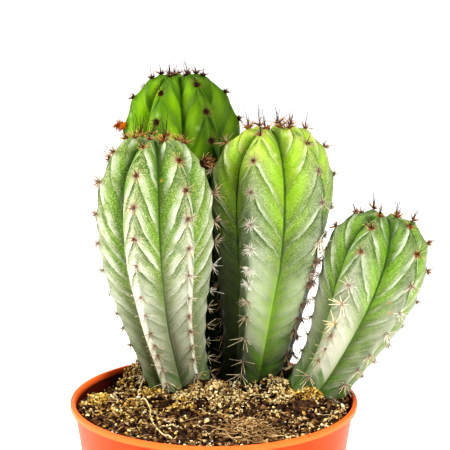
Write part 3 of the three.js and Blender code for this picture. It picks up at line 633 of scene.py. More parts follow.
# Spines. A cluster on each areole: a ring of radials, a few centrals and a felt pad with short wool. The tables run
# over the share of the way down: how many and how long the spines are, how thick their roots, how far they fan towards
# the ground, how pale they are, how wide the felt is and how many hairs it has. Long areoles have their spines longer
# by a factor. In the old half, pale ribs have paler spines, or darker, browner ones below 0, partly their own colour
# and partly painted shade where they lie in the gaps between stems, and sparse ribs have fewer. A tuft of dried
# blossom is rib, distance, radius, number of threads and their colours.
SPINES = {
    "stem_left": {
        "count": [(0, 12), (0.3, 12), (0.45, 9), (0.6, 7), (0.9, 5), (1, 5)],
        "radial": [(0, 2.8), (0.15, 2.9), (0.35, 3.4), (0.55, 3), (0.85, 2.8), (0.93, 5), (1, 5.4)],
        "centrals": [(0, 6), (0.12, 4), (0.3, 3), (0.5, 3), (1, 1.5)],
        "central": [(0, 8), (0.12, 6), (0.3, 5.6), (0.85, 5.2), (1, 4)],
        "thick": [(0, 0.17), (0.5, 0.15), (0.85, 0.15), (0.92, 0.18), (1, 0.19)],
        "fan": [(0, 0), (0.5, 0.2), (0.85, 0.3), (0.92, 0.9), (1, 1)],
        "white": [(0, 0), (0.2, 0.1), (0.4, 0.4), (0.55, 0.65), (0.85, 0.65), (0.92, 0.95)],
        "felt": [(0, 1), (0.3, 0.95), (0.5, 0.65), (0.7, 0.5), (1, 0.4)],
        "wool": [(0, 12), (0.4, 14), (0.6, 8), (1, 3)],
        "base": "#6A220C", "tip": "#D8AC66", "pad": "#9C4C18", "pale_and_shaded_ribs": {2: 0.3}, "sparse": {2: 0.55, 3: 0.4},
        "tufts": ((2, 23.3, 2.6, 80, ("#4A2A1A", "#8A5E36", "#C89A62")), (1, 4.5, 1.3, 40, ("#D9A040", "#F0C870"))),
    },
    "stem_centre": {
        "count": [(0, 10), (0.3, 11), (0.42, 14), (0.5, 23), (0.62, 20), (0.7, 7), (0.8, 5), (1, 5)],
        "radial": [(0, 4.2), (0.12, 3.6), (0.3, 3), (0.42, 2.6), (0.5, 2.7), (0.62, 2.5), (0.72, 3.4), (0.88, 5.8),
                   (1, 6.4)],
        "centrals": [(0, 6), (0.12, 4), (0.4, 2.5), (1, 1)],
        "central": [(0, 9.5), (0.1, 7), (0.3, 5.4), (0.45, 5), (0.6, 3.6), (1, 5)],
        "thick": [(0, 0.15), (0.3, 0.13), (0.62, 0.13), (0.75, 0.16), (1, 0.19)],
        "fan": [(0, 0), (0.6, 0.2), (0.75, 0.85), (1, 1)],
        "white": [(0, 0), (0.15, 0.15), (0.35, 0.5), (0.48, 1), (1, 0.95)],
        "felt": [(0, 1.1), (0.3, 0.9), (0.5, 0.7), (0.7, 0.6), (1, 0.5)],
        "wool": [(0, 12), (0.3, 20), (0.5, 34), (0.62, 30), (0.72, 6), (1, 3)],
        "base": "#5A2814", "tip": "#C99858", "pad": "#843E14", "long": {(1, 52.5): 1.8},
        "pale_and_shaded_ribs": {1: -0.6, 2: -1, 4: -1, 5: -0.6}, "sparse": {4: 0.35, 5: 0.4},
        "tufts": ((5, 8, 1.0, 30, ("#C89044", "#E8C070", "#8A5A2A")), (0, 2.8, 0.9, 30, ("#9A5A2C", "#D8A060"))),
    },
    "stem_back": {
        "count": [(0, 10), (0.1, 12), (1, 12)],
        "radial": [(0, 2.7), (0.1, 2.7), (1, 2.8)],
        "centrals": [(0, 5), (0.15, 3.5), (1, 2)],
        "central": [(0, 8), (0.12, 5.6), (0.25, 4.6), (1, 4)],
        "thick": [(0, 0.1), (1, 0.1)],
        "fan": [(0, 0), (1, 0.6)],
        "white": [(0, 0), (0.5, 0.05), (1, 0.8)],
        "felt": [(0, 1.5), (0.3, 1.6), (1, 1)],
        "wool": [(0, 16), (1, 10)],
        "base": "#4A1E10", "tip": "#A8784A", "pad": "#34130A",
        "tufts": ((6, 34.8, 2.3, 90, ("#D97A1E", "#A84E14", "#7A3A18")),),
    },
    "stem_right": {
        "count": [(0, 11), (0.4, 9), (1, 6)],
        "radial": [(0, 3.2), (0.15, 2.6), (0.38, 2.4), (0.45, 3.6), (0.8, 3.4), (0.92, 5), (1, 5.6)],
        "centrals": [(0, 8), (0.2, 5), (0.4, 3), (1, 1.5)],
        "central": [(0, 8), (0.1, 6.5), (0.2, 4.6), (0.35, 5.4), (0.6, 5), (1, 4.4)],
        "thick": [(0, 0.15), (0.8, 0.14), (1, 0.18)],
        "fan": [(0, 0), (0.6, 0.3), (0.9, 0.9), (1, 1)],
        "white": [(0, 0), (0.3, 0.1), (0.42, 0.6), (0.5, 0.7), (1, 0.85)],
        "felt": [(0, 1), (0.2, 1.2), (0.36, 1.2), (0.5, 0.7), (1, 0.5)],
        "wool": [(0, 14), (0.2, 26), (0.36, 26), (0.5, 10), (1, 4)],
        "base": "#5E2A16", "tip": "#DDB068", "pad": "#9A5420", "long": {(0, 46.3): 1.5, (0, 54.5): 1.3},
    },
}
SLENDER_COLOUR = "#3A2620"
WOODY_BASE = "#86642F"
STRAW_TIP = "#EAD8A0"
WHITE_TIP = "#FFFCF4"
FELT_OLD = "#B7A890"
# Areoles nearer to the axis than this radius, or below this share of the way down, carry nothing.
LEAST_RADIUS = 4.0
LAST_SHARE = 0.985
# Shares of the way down: above the first the centrals are dark, at the tip they point up, and below the woolly
# share the old spines are the colour of straw instead of white.
DARK_SHARE = 0.3
TIP_SHARE = 0.12
OLD_SHARE = 0.5
WOOLLY_SHARE = 0.66
# Lifts from the skin and the width of a fan, in degrees.
RADIAL_LIFT = (8, 52)
CENTRAL_LIFT = (48, 86)
WOOL_LIFT = (10, 85)
FAN_WIDTH = 230
WOOL_LENGTH = (0.8, 1.9)
WOOL_THICKNESS = 0.09
THREAD_THICKNESS = 0.13
# The felt pad: its size, and its shape down, across and out.
PAD_SIZE = 0.8
PAD_SHAPE = (1, 0.9, 0.35)


def spine_template(sides, cuts):
    """A thin cone along +Z, one unit long, with a few rings to bend at."""
    deselect_all()
    bpy.ops.mesh.primitive_cone_add(vertices=sides, radius1=1, radius2=0.5, depth=1, end_fill_type="TRIFAN",
                                    location=(0, 0, 0.5))
    return cut_into_rings(bpy.context.object, cuts)


def bent_spines(template, roots, ways, bends, lengths, radii, base_tints, tip_tints):
    """Copies of a spine, each from its root along its own way, bending sideways towards its tip."""
    shape = corners_of(template)
    ways = unit(ways)
    helper = np.where(np.abs(ways[:, 2:]) < 0.9, [[0.0, 0, 1]], [[1.0, 0, 0]])
    across = unit(np.cross(ways, helper))
    third = np.cross(ways, across)
    height = shape[:, 2][None, :, None]
    x = shape[:, 0][None, :, None]
    y = shape[:, 1][None, :, None]
    size = np.asarray(radii)[:, None, None]
    length = np.asarray(lengths)[:, None, None]
    places = np.asarray(roots)[:, None] + ways[:, None] * height * length
    places = places + np.asarray(bends)[:, None] * length * height ** 2
    places = places + (across[:, None] * x + third[:, None] * y) * size
    mix = np.clip(height, 0, 1) ** 1.2
    tints = np.asarray(base_tints)[:, None] * (1 - mix) + np.asarray(tip_tints)[:, None] * mix
    return places, tints


def areole_ways(stem, rib, distance):
    """The middle of an areole, and the ways down the rib, across it and out of the skin."""
    at = np.array([distance])
    centre = stem.skin(rib, np.zeros(1), at, 0.1)[0]
    down = unit(stem.skin(rib, np.zeros(1), at + 1)[0] - stem.skin(rib, np.zeros(1), at - 1)[0])
    r, z = (float(value[0]) for value in stem.crest(at))
    out_r, out_z = (float(value[0]) for value in stem.outward(at))
    angle = float(stem.rib_angle(rib, distance / stem.crest_length))
    out = unit(stem.place(r + out_r, angle, z + out_z) - stem.place(r, angle, z))
    return centre, (down, unit(np.cross(down, out)), out)


def aimed(ways, bearing, lift):
    """The way along the skin at a bearing, and that way lifted from the skin by some degrees."""
    down, across, out = ways
    flat = math.cos(bearing) * down + math.sin(bearing) * across
    return flat, flat * math.cos(math.radians(lift)) + out * math.sin(math.radians(lift))


def areole_cluster(stem, rules, hues, rib, distance, fullness, draw):
    """The spines, the hairs of wool and the felt pad of one areole."""
    young_base, young_tip, young_pad, slender, woody, straw, white, old_pad = hues
    share = distance / stem.crest_length
    count, radial, centrals, central, thick, fan, pale, felt, wool = (float(along(rules[key], share)) for key in (
        "count", "radial", "centrals", "central", "thick", "fan", "white", "felt", "wool"))
    longer = rules.get("long", {}).get((rib, distance), 1)
    grown = draw.uniform(0.85, 1.2) * longer
    centre, ways = areole_ways(stem, rib, distance)
    out = ways[2]
    # Below 0 a rib's old spines are browner: partly their own colour, partly painted shade in the gaps between stems.
    pale = pale * draw.uniform(0.8, 1.15) + rules.get("pale_and_shaded_ribs", {}).get(rib, 0) * (share > OLD_SHARE)
    pale = min(max(pale, 0), 1)
    dry = 0.75 if share > WOOLLY_SHARE else 0.2
    tip = young_tip * (1 - pale) + (straw * dry + white * (1 - dry)) * pale
    base = young_base * (1 - pale) + (woody * dry + white * (1 - dry)) * pale
    if longer > 1:
        thick, base = 1.4 * thick, tip
    if share > OLD_SHARE:
        count, centrals = (number * rules.get("sparse", {}).get(rib, 1) for number in (count, centrals))
    spines, hairs = [], []
    radials = max(int(round(count * fullness)), 3)
    start = draw.uniform(0, FULL_TURN)
    for k in range(radials):
        around = start + (k + draw.uniform(-0.3, 0.3)) * FULL_TURN / radials
        spread = ((k + 0.5 + draw.uniform(-0.25, 0.25)) / radials - 0.5) * math.radians(FAN_WIDTH)
        bearing = spread if draw.random() < fan else around
        flat, way = aimed(ways, bearing, draw.uniform(*RADIAL_LIFT))
        own_tip = tip if draw.random() > 0.25 else base * 0.6 + tip * 0.4
        spines.append((centre + flat * 0.4, way, out * draw.uniform(-0.12, 0.2),
                       grown * radial * draw.uniform(0.7, 1.2), thick * draw.uniform(0.85, 1.15), base, own_tip))
    young = slender if share < DARK_SHARE else young_base
    for _ in range(int(centrals + draw.random())):
        flat, way = aimed(ways, draw.uniform(0, FULL_TURN), draw.uniform(*CENTRAL_LIFT))
        way = way + np.array([0, 0, 0.9 * (share < TIP_SHARE)])
        spines.append((centre, way, flat * draw.uniform(-0.1, 0.1), central * draw.uniform(0.55, 1.15),
                       0.7 * thick, young * (1 - pale) + base * pale, slender * (1 - pale) + tip * pale))
    hue = young_pad * (1 - pale) + (old_pad * 0.2 + white * 0.8) * pale
    for _ in range(int(wool)):
        flat, way = aimed(ways, draw.uniform(0, FULL_TURN), draw.uniform(*WOOL_LIFT))
        hairs.append((centre + flat * draw.uniform(0, 0.6), way, draw.normal(0, 0.25, 3),
                      draw.uniform(*WOOL_LENGTH), WOOL_THICKNESS, hue, hue))
    shape = np.array(ways) * np.array(PAD_SHAPE)[:, None] * PAD_SIZE * felt * grown
    return spines, hairs, (centre, shape, young_pad * (1 - 0.3 * pale) + old_pad * 0.3 * pale)


def blossom_tuft(stem, rib, distance, radius, threads, colours, draw):
    """The threads and the core of one tuft of dried blossom."""
    side, below = np.zeros(1), np.array([distance])
    root = stem.skin(rib, side, below)[0]
    middle = stem.skin(rib, side, below, 0.8 * radius)[0]
    hairs = []
    for k in range(threads):
        start = unit(draw.normal(0, 1, 3)) * radius * draw.uniform(0.2, 0.9)
        way = unit(draw.normal(0, 1, 3))
        hue = np.array(linear(colours[k % len(colours)]))
        hairs.append((middle + start - way * radius * 0.5, way, draw.normal(0, 0.35, 3),
                      radius * draw.uniform(0.7, 1.3), THREAD_THICKNESS, hue * 0.7, hue))
    return hairs, ((root + middle) / 2, np.eye(3) * radius * 0.9, np.array(linear(colours[0])) * 0.7)


def stem_spines(name, fullness):
    """All spines, wool and felt of one stem, as one piece."""
    stem = Stem(STEMS[name])
    rules = SPINES[name]
    draw = np.random.default_rng(stem.spec["seed"])
    hues = [np.array(linear(colour)) for colour in (
        rules["base"], rules["tip"], rules["pad"], SLENDER_COLOUR, WOODY_BASE, STRAW_TIP, WHITE_TIP, FELT_OLD)]
    spines, hairs, pads = [], [], []
    for rib in range(stem.spec["ribs"]):
        for distance in stem.areoles(rib):
            if distance / stem.crest_length > LAST_SHARE or float(stem.crest(distance)[0]) < LEAST_RADIUS:
                continue
            own_spines, own_hairs, pad = areole_cluster(stem, rules, hues, rib, distance, fullness, draw)
            spines += own_spines
            hairs += own_hairs
            pads.append(pad)
    for tuft in rules.get("tufts", ()):
        own_hairs, pad = blossom_tuft(stem, *tuft, draw)
        hairs += own_hairs
        pads.append(pad)
    pieces = []
    for kind, rows, sides, cuts in (("spines", spines, 5, 2), ("wool", hairs, 3, 1)):
        template = spine_template(sides, cuts)
        columns = [np.array(column) for column in zip(*rows)]
        places, tints = bent_spines(template, *columns)
        pieces.append(joined_copies(f"{name}_{kind}", template, places, tints))
        remove(template)
    template = lump_template(stem.spec["seed"], (2, 2, 2), 0.25)
    corners = corners_of(template)
    places = np.array([centre + corners @ shape for centre, shape, _ in pads])
    tints = np.array([np.repeat(hue[None], len(corners), 0) for _, _, hue in pads])
    pieces.append(joined_copies(f"{name}_felt", template, places, tints))
    remove(template)
    piece = joined(pieces)
    bpy.ops.object.shade_smooth()
    return piece


def soil_top(x, y):
    """The lie of the ground: level, with heaps and rolling clods, and below the rim along the wall."""
    z = SOIL_LEVEL + np.zeros(np.shape(x))
    for heap_x, heap_y, rise, wide, deep in SOIL_HEAPS:
        z = z + rise * np.exp(-((x - heap_x) / wide) ** 2 - ((y - heap_y) / deep) ** 2)
    for height, first, second in CLODS:
        wave = np.sin(first[0] * x + first[1] * y + first[2]) * np.sin(second[0] * x + second[1] * y + second[2])
        z = z + height * wave
    edge = inner_radius(SOIL_LEVEL) - np.hypot(x, y)
    return np.minimum(z, POT_HEIGHT - SOIL_BELOW_RIM + np.maximum(edge, 0))


def inner_radius(z):
    """The inner face of the pot's wall."""
    return INNER_FLOOR_RADIUS + (z - FLOOR_TOP) * INNER_SLOPE


def crumble(flat):
    """How far clods and crumbs stand above the lie of the ground."""
    return sum(noise(flat, size, seed) * high for size, seed, high in BED_CRUMBS)


def soil_bed():
    """The soil as one closed body: a crumbly top, the side along the pot's wall and the underside."""
    angles = np.linspace(0, FULL_TURN, SOIL_SECTORS + 1)
    angles[-1] = 0
    edge = inner_radius(SOIL_LEVEL) - SOIL_GAP
    rows = []
    for radius in np.linspace(0, edge, SOIL_RINGS):
        x, y = radius * np.sin(angles), -radius * np.cos(angles)
        z = soil_top(x, y)
        flat = np.stack((x, y, z * 0), -1)
        inside = smooth((edge - radius) / WALL_FADE)
        rows.append(np.stack((x, y, np.minimum(z + crumble(flat) * inside - BED_SINK, HIGHEST_SOIL)), -1))
    bottom = FLOOR_TOP + SOIL_GAP
    for height in (70, 40, bottom + 0.5, bottom):
        radius = inner_radius(max(height, bottom + 0.5)) - (SOIL_GAP if height > bottom else SOIL_GAP + 0.5)
        rows.append(np.stack((radius * np.sin(angles), -radius * np.cos(angles), height + 0 * angles), -1))
    rows.append(np.stack((0 * angles, 0 * angles, bottom + 0 * angles), -1))
    return closed_shell(np.array(rows))


def lump_template(seed, size, offset=0.22):
    """A small rough lump of twenty faces, flattened to the given size."""
    deselect_all()
    bpy.ops.mesh.primitive_ico_sphere_add(subdivisions=1, radius=0.5)
    lump = bpy.context.object
    bpy.ops.object.mode_set(mode="EDIT")
    bpy.ops.mesh.select_all(action="SELECT")
    bpy.ops.transform.vertex_random(offset=offset, seed=seed)
    bpy.ops.transform.resize(value=size)
    bpy.ops.object.mode_set(mode="OBJECT")
    return lump


def upright_turns(angles):
    """The matrices that turn about the vertical, one for each angle."""
    c, s = np.cos(angles), np.sin(angles)
    zero, one = np.zeros(len(angles)), np.ones(len(angles))
    return np.array([[c, -s, zero], [s, c, zero], [zero, zero, one]]).transpose(2, 0, 1)


def turned(count, draw, tilt):
    """Random turns, each leaning up to a share of a quarter turn from flat."""
    spin = upright_turns(draw.uniform(0, FULL_TURN, count))
    lean = draw.uniform(0, 1, count) ** 1.2 * tilt * math.pi / 2
    way = upright_turns(draw.uniform(0, FULL_TURN, count))
    return way @ np.roll(upright_turns(lean), (1, 1), (1, 2)) @ spin


def clear_of_stems(x, y, room):
    """Which places on the ground lie outside the stems' feet."""
    clear = np.ones(len(x), bool)
    for spec in STEMS.values():
        foot = np.array(spec["foot"])
        clear &= np.hypot(x - foot[0], y - foot[1]) > spec["radius"] * spec["waist"] * 0.93 + room
    return clear


# Clumps that the litter gathers in: their width, their own number and their weight.
LITTER_CLUMPS = ((4.2, 12, 1.0), (1.9, 13, 0.6))
LUMP_SHAPES = 4
# What lies on the soil: how many, size range, flatness, lean, height above the bed, colours, patches. A patch is
# x, y, half width, half depth and pull. Kinds that gather lie in clumps, and the rest of the ground stays dark.
LITTER = {
    "peat_crumbs": {
        "count": 4600, "size": (0.9, 2.8), "shape": (1, 0.8, 0.7), "lean": 1, "lift": (-0.9, 0.5), "gather": -2,
        "colours": ("#2E1A10", "#42281A", "#1C100A", "#5E4128", "#7A5B3A", "#8C6C48"), "seed": 5, "patches": (),
    },
    "straw_flakes": {
        "count": 9600, "size": (0.6, 1.9), "shape": (1.2, 0.75, 0.45), "lean": 0.9, "lift": (-0.2, 1.2), "gather": 0.0,
        "colours": ("#D9C99A", "#BEA26C", "#A08050", "#E6DAB2", "#86683F", "#C9B27E", "#6E5236", "#DCC998"), "seed": 6,
        "patches": ((18, 8, 18, 10, 0.18), (0, 0, 16, 9, 0.28), (30, -6, 10, 4, 0.1)),
    },
    "golden_grains": {
        "count": 2000, "size": (0.6, 1.6), "shape": (1, 0.85, 0.7), "lean": 1, "lift": (0.1, 2.2), "gather": -2,
        "colours": ("#CCA650", "#DCC070", "#A8843E", "#E8D696", "#8A6A30"), "seed": 7,
        "patches": ((-44, -2, 4.5, 3, 0.12), (-24, 10, 6, 5, 0.1), (34, -6.5, 5.5, 3, 0.22), (28, -4, 5, 3, 0.08),
                    (-30, -12, 10, 10, 0.08), (-12, -10, 5, 4, 0.06), (-43, 8, 4, 4, 0.06), (-32, 26, 6, 7, 0.06)),
    },
    "pale_grains": {
        "count": 190, "size": (0.7, 1.8), "shape": (1, 0.9, 0.8), "lean": 1, "lift": (0.2, 1.3), "gather": -2,
        "colours": ("#F3E8CF", "#E6D6B4", "#F6EEDC", "#D9C7A0"), "seed": 8, "patches": ((20, 8, 18, 9, 0.3),),
    },
    "bark_splinters": {
        "count": 800, "size": (2, 5), "shape": (1, 0.16, 0.12), "lean": 0.5, "lift": (0.1, 1.5), "gather": -2,
        "colours": ("#5A3F27", "#7A5733", "#A98353", "#3B281A", "#D4B27C"), "seed": 9, "patches": (),
    },
}


def litter(kind, share):
    """One kind of grain or flake, strewn over the soil by rule and piled in its patches."""
    rule = LITTER[kind]
    draw = np.random.default_rng(rule["seed"])
    count = int(rule["count"] * share)
    reach = inner_radius(SOIL_LEVEL) + 0.2
    radius = reach * np.sqrt(draw.uniform(0, 1, count))
    angle = draw.uniform(0, FULL_TURN, count)
    x, y = radius * np.cos(angle), radius * np.sin(angle)
    lifted = np.zeros(count)
    picked = draw.uniform(0, 1, count)
    first = 0.0
    for patch_x, patch_y, wide, deep, pull in rule["patches"]:
        inside = (picked >= first) & (picked < first + pull)
        first += pull
        away = np.sqrt(draw.uniform(0, 1, count))
        way = draw.uniform(0, FULL_TURN, count)
        x = np.where(inside, patch_x + wide * away * np.cos(way), x)
        y = np.where(inside, patch_y + deep * away * np.sin(way), y)
        lifted = np.where(inside, (1 - away ** 2) * min(wide, deep) * 0.3, lifted)
    flat = np.stack((x, y, 0 * x), -1)
    clumps = sum(noise(flat, size, seed) * high for size, seed, high in LITTER_CLUMPS)
    gathered = clumps > rule["gather"] + draw.normal(0, 0.15, count)
    kept = (np.hypot(x, y) < reach) & clear_of_stems(x, y, 0.3) & gathered
    x, y, lifted, clumps, flat = x[kept], y[kept], lifted[kept], clumps[kept], flat[kept]
    count = len(x)
    low, high = rule["lift"]
    heaped = np.maximum(clumps, 0) * (1.2 if rule["gather"] > -1 else 0)
    inside = smooth((reach - np.hypot(x, y)) / WALL_FADE)
    z = soil_top(x, y) + crumble(flat) * inside - BED_SINK + draw.uniform(low, high, count)
    z = z + lifted * draw.uniform(0.2, 1, count) + heaped
    small, large = rule["size"]
    size = small + (large - small) * draw.uniform(0, 1, count) ** 1.8
    turns = turned(count, draw, rule["lean"])
    palette = np.array([linear(c) for c in rule["colours"]])
    tint = palette[draw.integers(0, len(palette), count)] * draw.uniform(0.75, 1.2, count)[:, None]
    tint[:, 3] = 1
    variants = []
    for variant in range(LUMP_SHAPES):
        template = lump_template(rule["seed"] * 10 + variant, rule["shape"])
        shape = corners_of(template)
        own = np.arange(count) % LUMP_SHAPES == variant
        places = np.einsum("nij,vj->nvi", turns[own], shape) * size[own][:, None, None]
        places = places + np.stack((x, y, z), -1)[own][:, None]
        tints = np.repeat(tint[own][:, None], len(shape), 1)
        variants.append(joined_copies(f"{kind}_{variant}", template, places, tints))
        remove(template)
    return joined(variants)


def swept(name, paths, radius, tints, sides=4):
    """Thin strands along paths of the same number of points, closed at both ends."""
    paths = np.asarray(paths, float)
    count, steps = paths.shape[:2]
    deselect_all()
    bpy.ops.mesh.primitive_cylinder_add(vertices=sides, radius=1, depth=1, end_fill_type="TRIFAN",
                                        location=(0, 0, 0.5))
    template = cut_into_rings(bpy.context.object, steps - 2)
    shape = corners_of(template)
    ring = np.rint(shape[:, 2] * (steps - 1)).astype(int)
    way = unit(np.gradient(paths, axis=1))
    helper = unit(np.array([0.31, 0.17, 0.93]))
    across = unit(np.cross(way, helper))
    third = np.cross(way, across)
    thin = np.asarray(radius).reshape(-1, 1, 1) * np.ones((count, 1, 1))
    places = paths[:, ring] + (across[:, ring] * shape[:, 0][None, :, None]
                               + third[:, ring] * shape[:, 1][None, :, None]) * thin
    tints = np.repeat(np.asarray(tints)[:, None], len(shape), 1)
    piece = joined_copies(name, template, places, tints)
    remove(template)
    select_only(piece)
    bpy.ops.object.shade_smooth()
    return piece


# The pale root's way over the soil, seen from above, its radius and how high it lies.
ROOT_POINTS = [(-26.9, 2.0), (-25.3, -3.5), (-23.6, -9.0), (-22.6, -14.5), (-22.6, -19.5), (-21.7, -24.5),
               (-19.8, -30.0), (-17.6, -36.0), (-15.2, -42.0), (-14.0, -45.2)]
ROOT_RADIUS = 0.3
ROOT_LIFT = 1.4
# The mat of fibres: where it lies, its half widths and its rise. One fibre in three strays from it.
MAT_CENTRE = (11.5, -35.6)
MAT_HALF = (9.5, 9.0)
MAT_RISE = 2.2
FIBRES = 330
FIBRE_POINTS = 9
FIBRE_STEP = (0.5, 1.2)
FIBRE_LIFT = (0.3, 1.9)
FIBRE_RADIUS = (0.08, 0.16)
STRAY_REACH = 46


def pale_root():
    """One thin pale root that winds over the soil to the rim."""
    points = np.array(ROOT_POINTS)
    steps = np.linspace(0, len(points) - 1, 46)
    x = np.interp(steps, range(len(points)), points[:, 0])
    y = np.interp(steps, range(len(points)), points[:, 1])
    for _ in range(3):
        x[1:-1] = (x[:-2] + 2 * x[1:-1] + x[2:]) / 4
        y[1:-1] = (y[:-2] + 2 * y[1:-1] + y[2:]) / 4
    z = soil_top(x, y) + ROOT_LIFT + 0.8 * np.sin(np.linspace(0, 2.6 * math.pi, len(x)))
    path = np.stack((x, y, z), -1)[None]
    return swept("pale_root", path, [ROOT_RADIUS], [linear("#E3CF9E")], 6)


def fibre_mat():
    """A tangled mat of fine brown fibres at the front, and stray ones over the rest of the soil."""
    draw = np.random.default_rng(17)
    paths, tints, radii = [], [], []
    palette = [linear(c) for c in ("#A88658", "#C8A878", "#8A6A45", "#DCC294", "#6A4C30")]
    for k in range(FIBRES):
        loose = k % 3 == 0
        if loose:
            radius, angle = STRAY_REACH * math.sqrt(draw.random()), draw.uniform(0, FULL_TURN)
            centre = np.array([radius * math.cos(angle), radius * math.sin(angle)])
        else:
            away, angle = math.sqrt(draw.random()), draw.uniform(0, FULL_TURN)
            centre = np.array(MAT_CENTRE) + away * np.array(MAT_HALF) * (math.cos(angle), math.sin(angle))
        heading = draw.uniform(0, FULL_TURN)
        curl = draw.normal(0, 0.35)
        step = draw.uniform(*FIBRE_STEP)
        points = [centre]
        for _ in range(FIBRE_POINTS - 1):
            heading += curl + draw.normal(0, 0.25)
            points.append(points[-1] + step * np.array([math.cos(heading), math.sin(heading)]))
        points = np.array(points)
        far = np.hypot(points[:, 0], points[:, 1])
        reach = inner_radius(SOIL_LEVEL) - 1.4
        points *= np.minimum(1, reach / np.maximum(far, 1e-6))[:, None]
        if not clear_of_stems(points[:, 0], points[:, 1], 0.2).all():
            continue
        mound = 0 if loose else MAT_RISE * (1 - away * away)
        z = soil_top(points[:, 0], points[:, 1]) + mound + draw.uniform(*FIBRE_LIFT) + noise(
            np.column_stack((points, np.full(len(points), k))), 2.5, 2) * 0.7
        paths.append(np.column_stack((points, z)))
        tints.append(palette[draw.integers(0, len(palette))])
        radii.append(draw.uniform(*FIBRE_RADIUS))
    return swept("fibre_mat", paths, radii, tints, 4)


POT_SIDES = 144


def pot_body(settings):
    """The pot: a circle drawn up along the profile ring by ring, closed, with drain holes cut through."""
    rim = settings.rim_radius / MM
    top = settings.height / MM
    band_foot = top - BAND_HEIGHT
    wall_top = WALL_TOP_RADIUS
    inner_top = rim - LIP
    outside = [(HUB_RADIUS, 0), (HUB_RADIUS + 0.8, RECESS), (BASE_RADIUS - FOOT_RING - 0.8, RECESS),
               (BASE_RADIUS - FOOT_RING, 0.15), (BASE_RADIUS - FOOT_RING + 0.3, 0), (BASE_RADIUS - 0.9, 0),
               (BASE_RADIUS - 0.3, 0.25), (BASE_RADIUS, 0.9)]
    wall = [(BASE_RADIUS + (wall_top - BASE_RADIUS) * s, 0.9 + (band_foot - CREASE - 0.9) * s)
            for s in (0.25, 0.5, 0.75, 0.97, 1)]
    band = [(wall_top - CREASE, band_foot - 0.1), (wall_top - 0.15, band_foot), (rim - 0.35, band_foot + 0.02),
            (rim - 0.1, band_foot + 0.15), (rim, band_foot + 0.5), (rim, top - 0.6), (rim - 0.12, top - 0.22),
            (rim - 0.45, top - 0.02), (rim - 0.7, top), (inner_top + 0.4, top), (inner_top + 0.12, top - 0.12),
            (inner_top, top - 0.5)]
    inside = [(inner_top - 0.5, top - 2), (inner_radius(top - 5) + 0.1, top - 4)]
    inside += [(inner_radius(z), z) for z in (top - 7, 60, 30, FLOOR_TOP + 1.2)]
    inside += [(INNER_FLOOR_RADIUS - 0.4, FLOOR_TOP + 0.3), (INNER_FLOOR_RADIUS - 1.4, FLOOR_TOP),
               (HUB_RADIUS, FLOOR_TOP)]
    profile = outside + wall + band + inside
    deselect_all()
    radius, height = profile[0]
    bpy.ops.mesh.primitive_circle_add(vertices=POT_SIDES, radius=radius * MM, fill_type="NGON",
                                      location=(0, 0, height * MM))
    pot = bpy.context.object
    bpy.ops.object.transform_apply(location=True)
    bpy.ops.object.mode_set(mode="EDIT")
    bpy.ops.mesh.select_all(action="SELECT")
    bpy.ops.mesh.region_to_loop()
    for next_radius, next_height in profile[1:]:
        bpy.ops.mesh.extrude_edges_move(TRANSFORM_OT_translate={"value": (0, 0, (next_height - height) * MM)})
        scale = next_radius / radius
        bpy.ops.transform.resize(value=(scale, scale, 1), center_override=(0, 0, 0))
        radius, height = next_radius, next_height
    bpy.ops.mesh.edge_face_add()
    bpy.ops.mesh.select_all(action="SELECT")
    bpy.ops.mesh.normals_make_consistent(inside=False)
    bpy.ops.object.mode_set(mode="OBJECT")
    for k in range(DRAIN_HOLES):
        angle = (k + 0.5) * FULL_TURN / DRAIN_HOLES
        deselect_all()
        bpy.ops.mesh.primitive_cylinder_add(
            vertices=32, radius=DRAIN_RADIUS * MM, depth=4 * FLOOR_TOP * MM,
            location=(DRAIN_CIRCLE * MM * math.cos(angle), DRAIN_CIRCLE * MM * math.sin(angle), 0))
        drill = bpy.context.object
        select_only(pot)
        cut = pot.modifiers.new("drain", "BOOLEAN")
        cut.object = drill
        cut.operation = "DIFFERENCE"
        cut.solver = "EXACT"
        bpy.ops.object.modifier_apply(modifier=cut.name)
        remove(drill)
    select_only(pot)
    bpy.ops.object.shade_smooth_by_angle(angle=math.radians(40))
    return pot


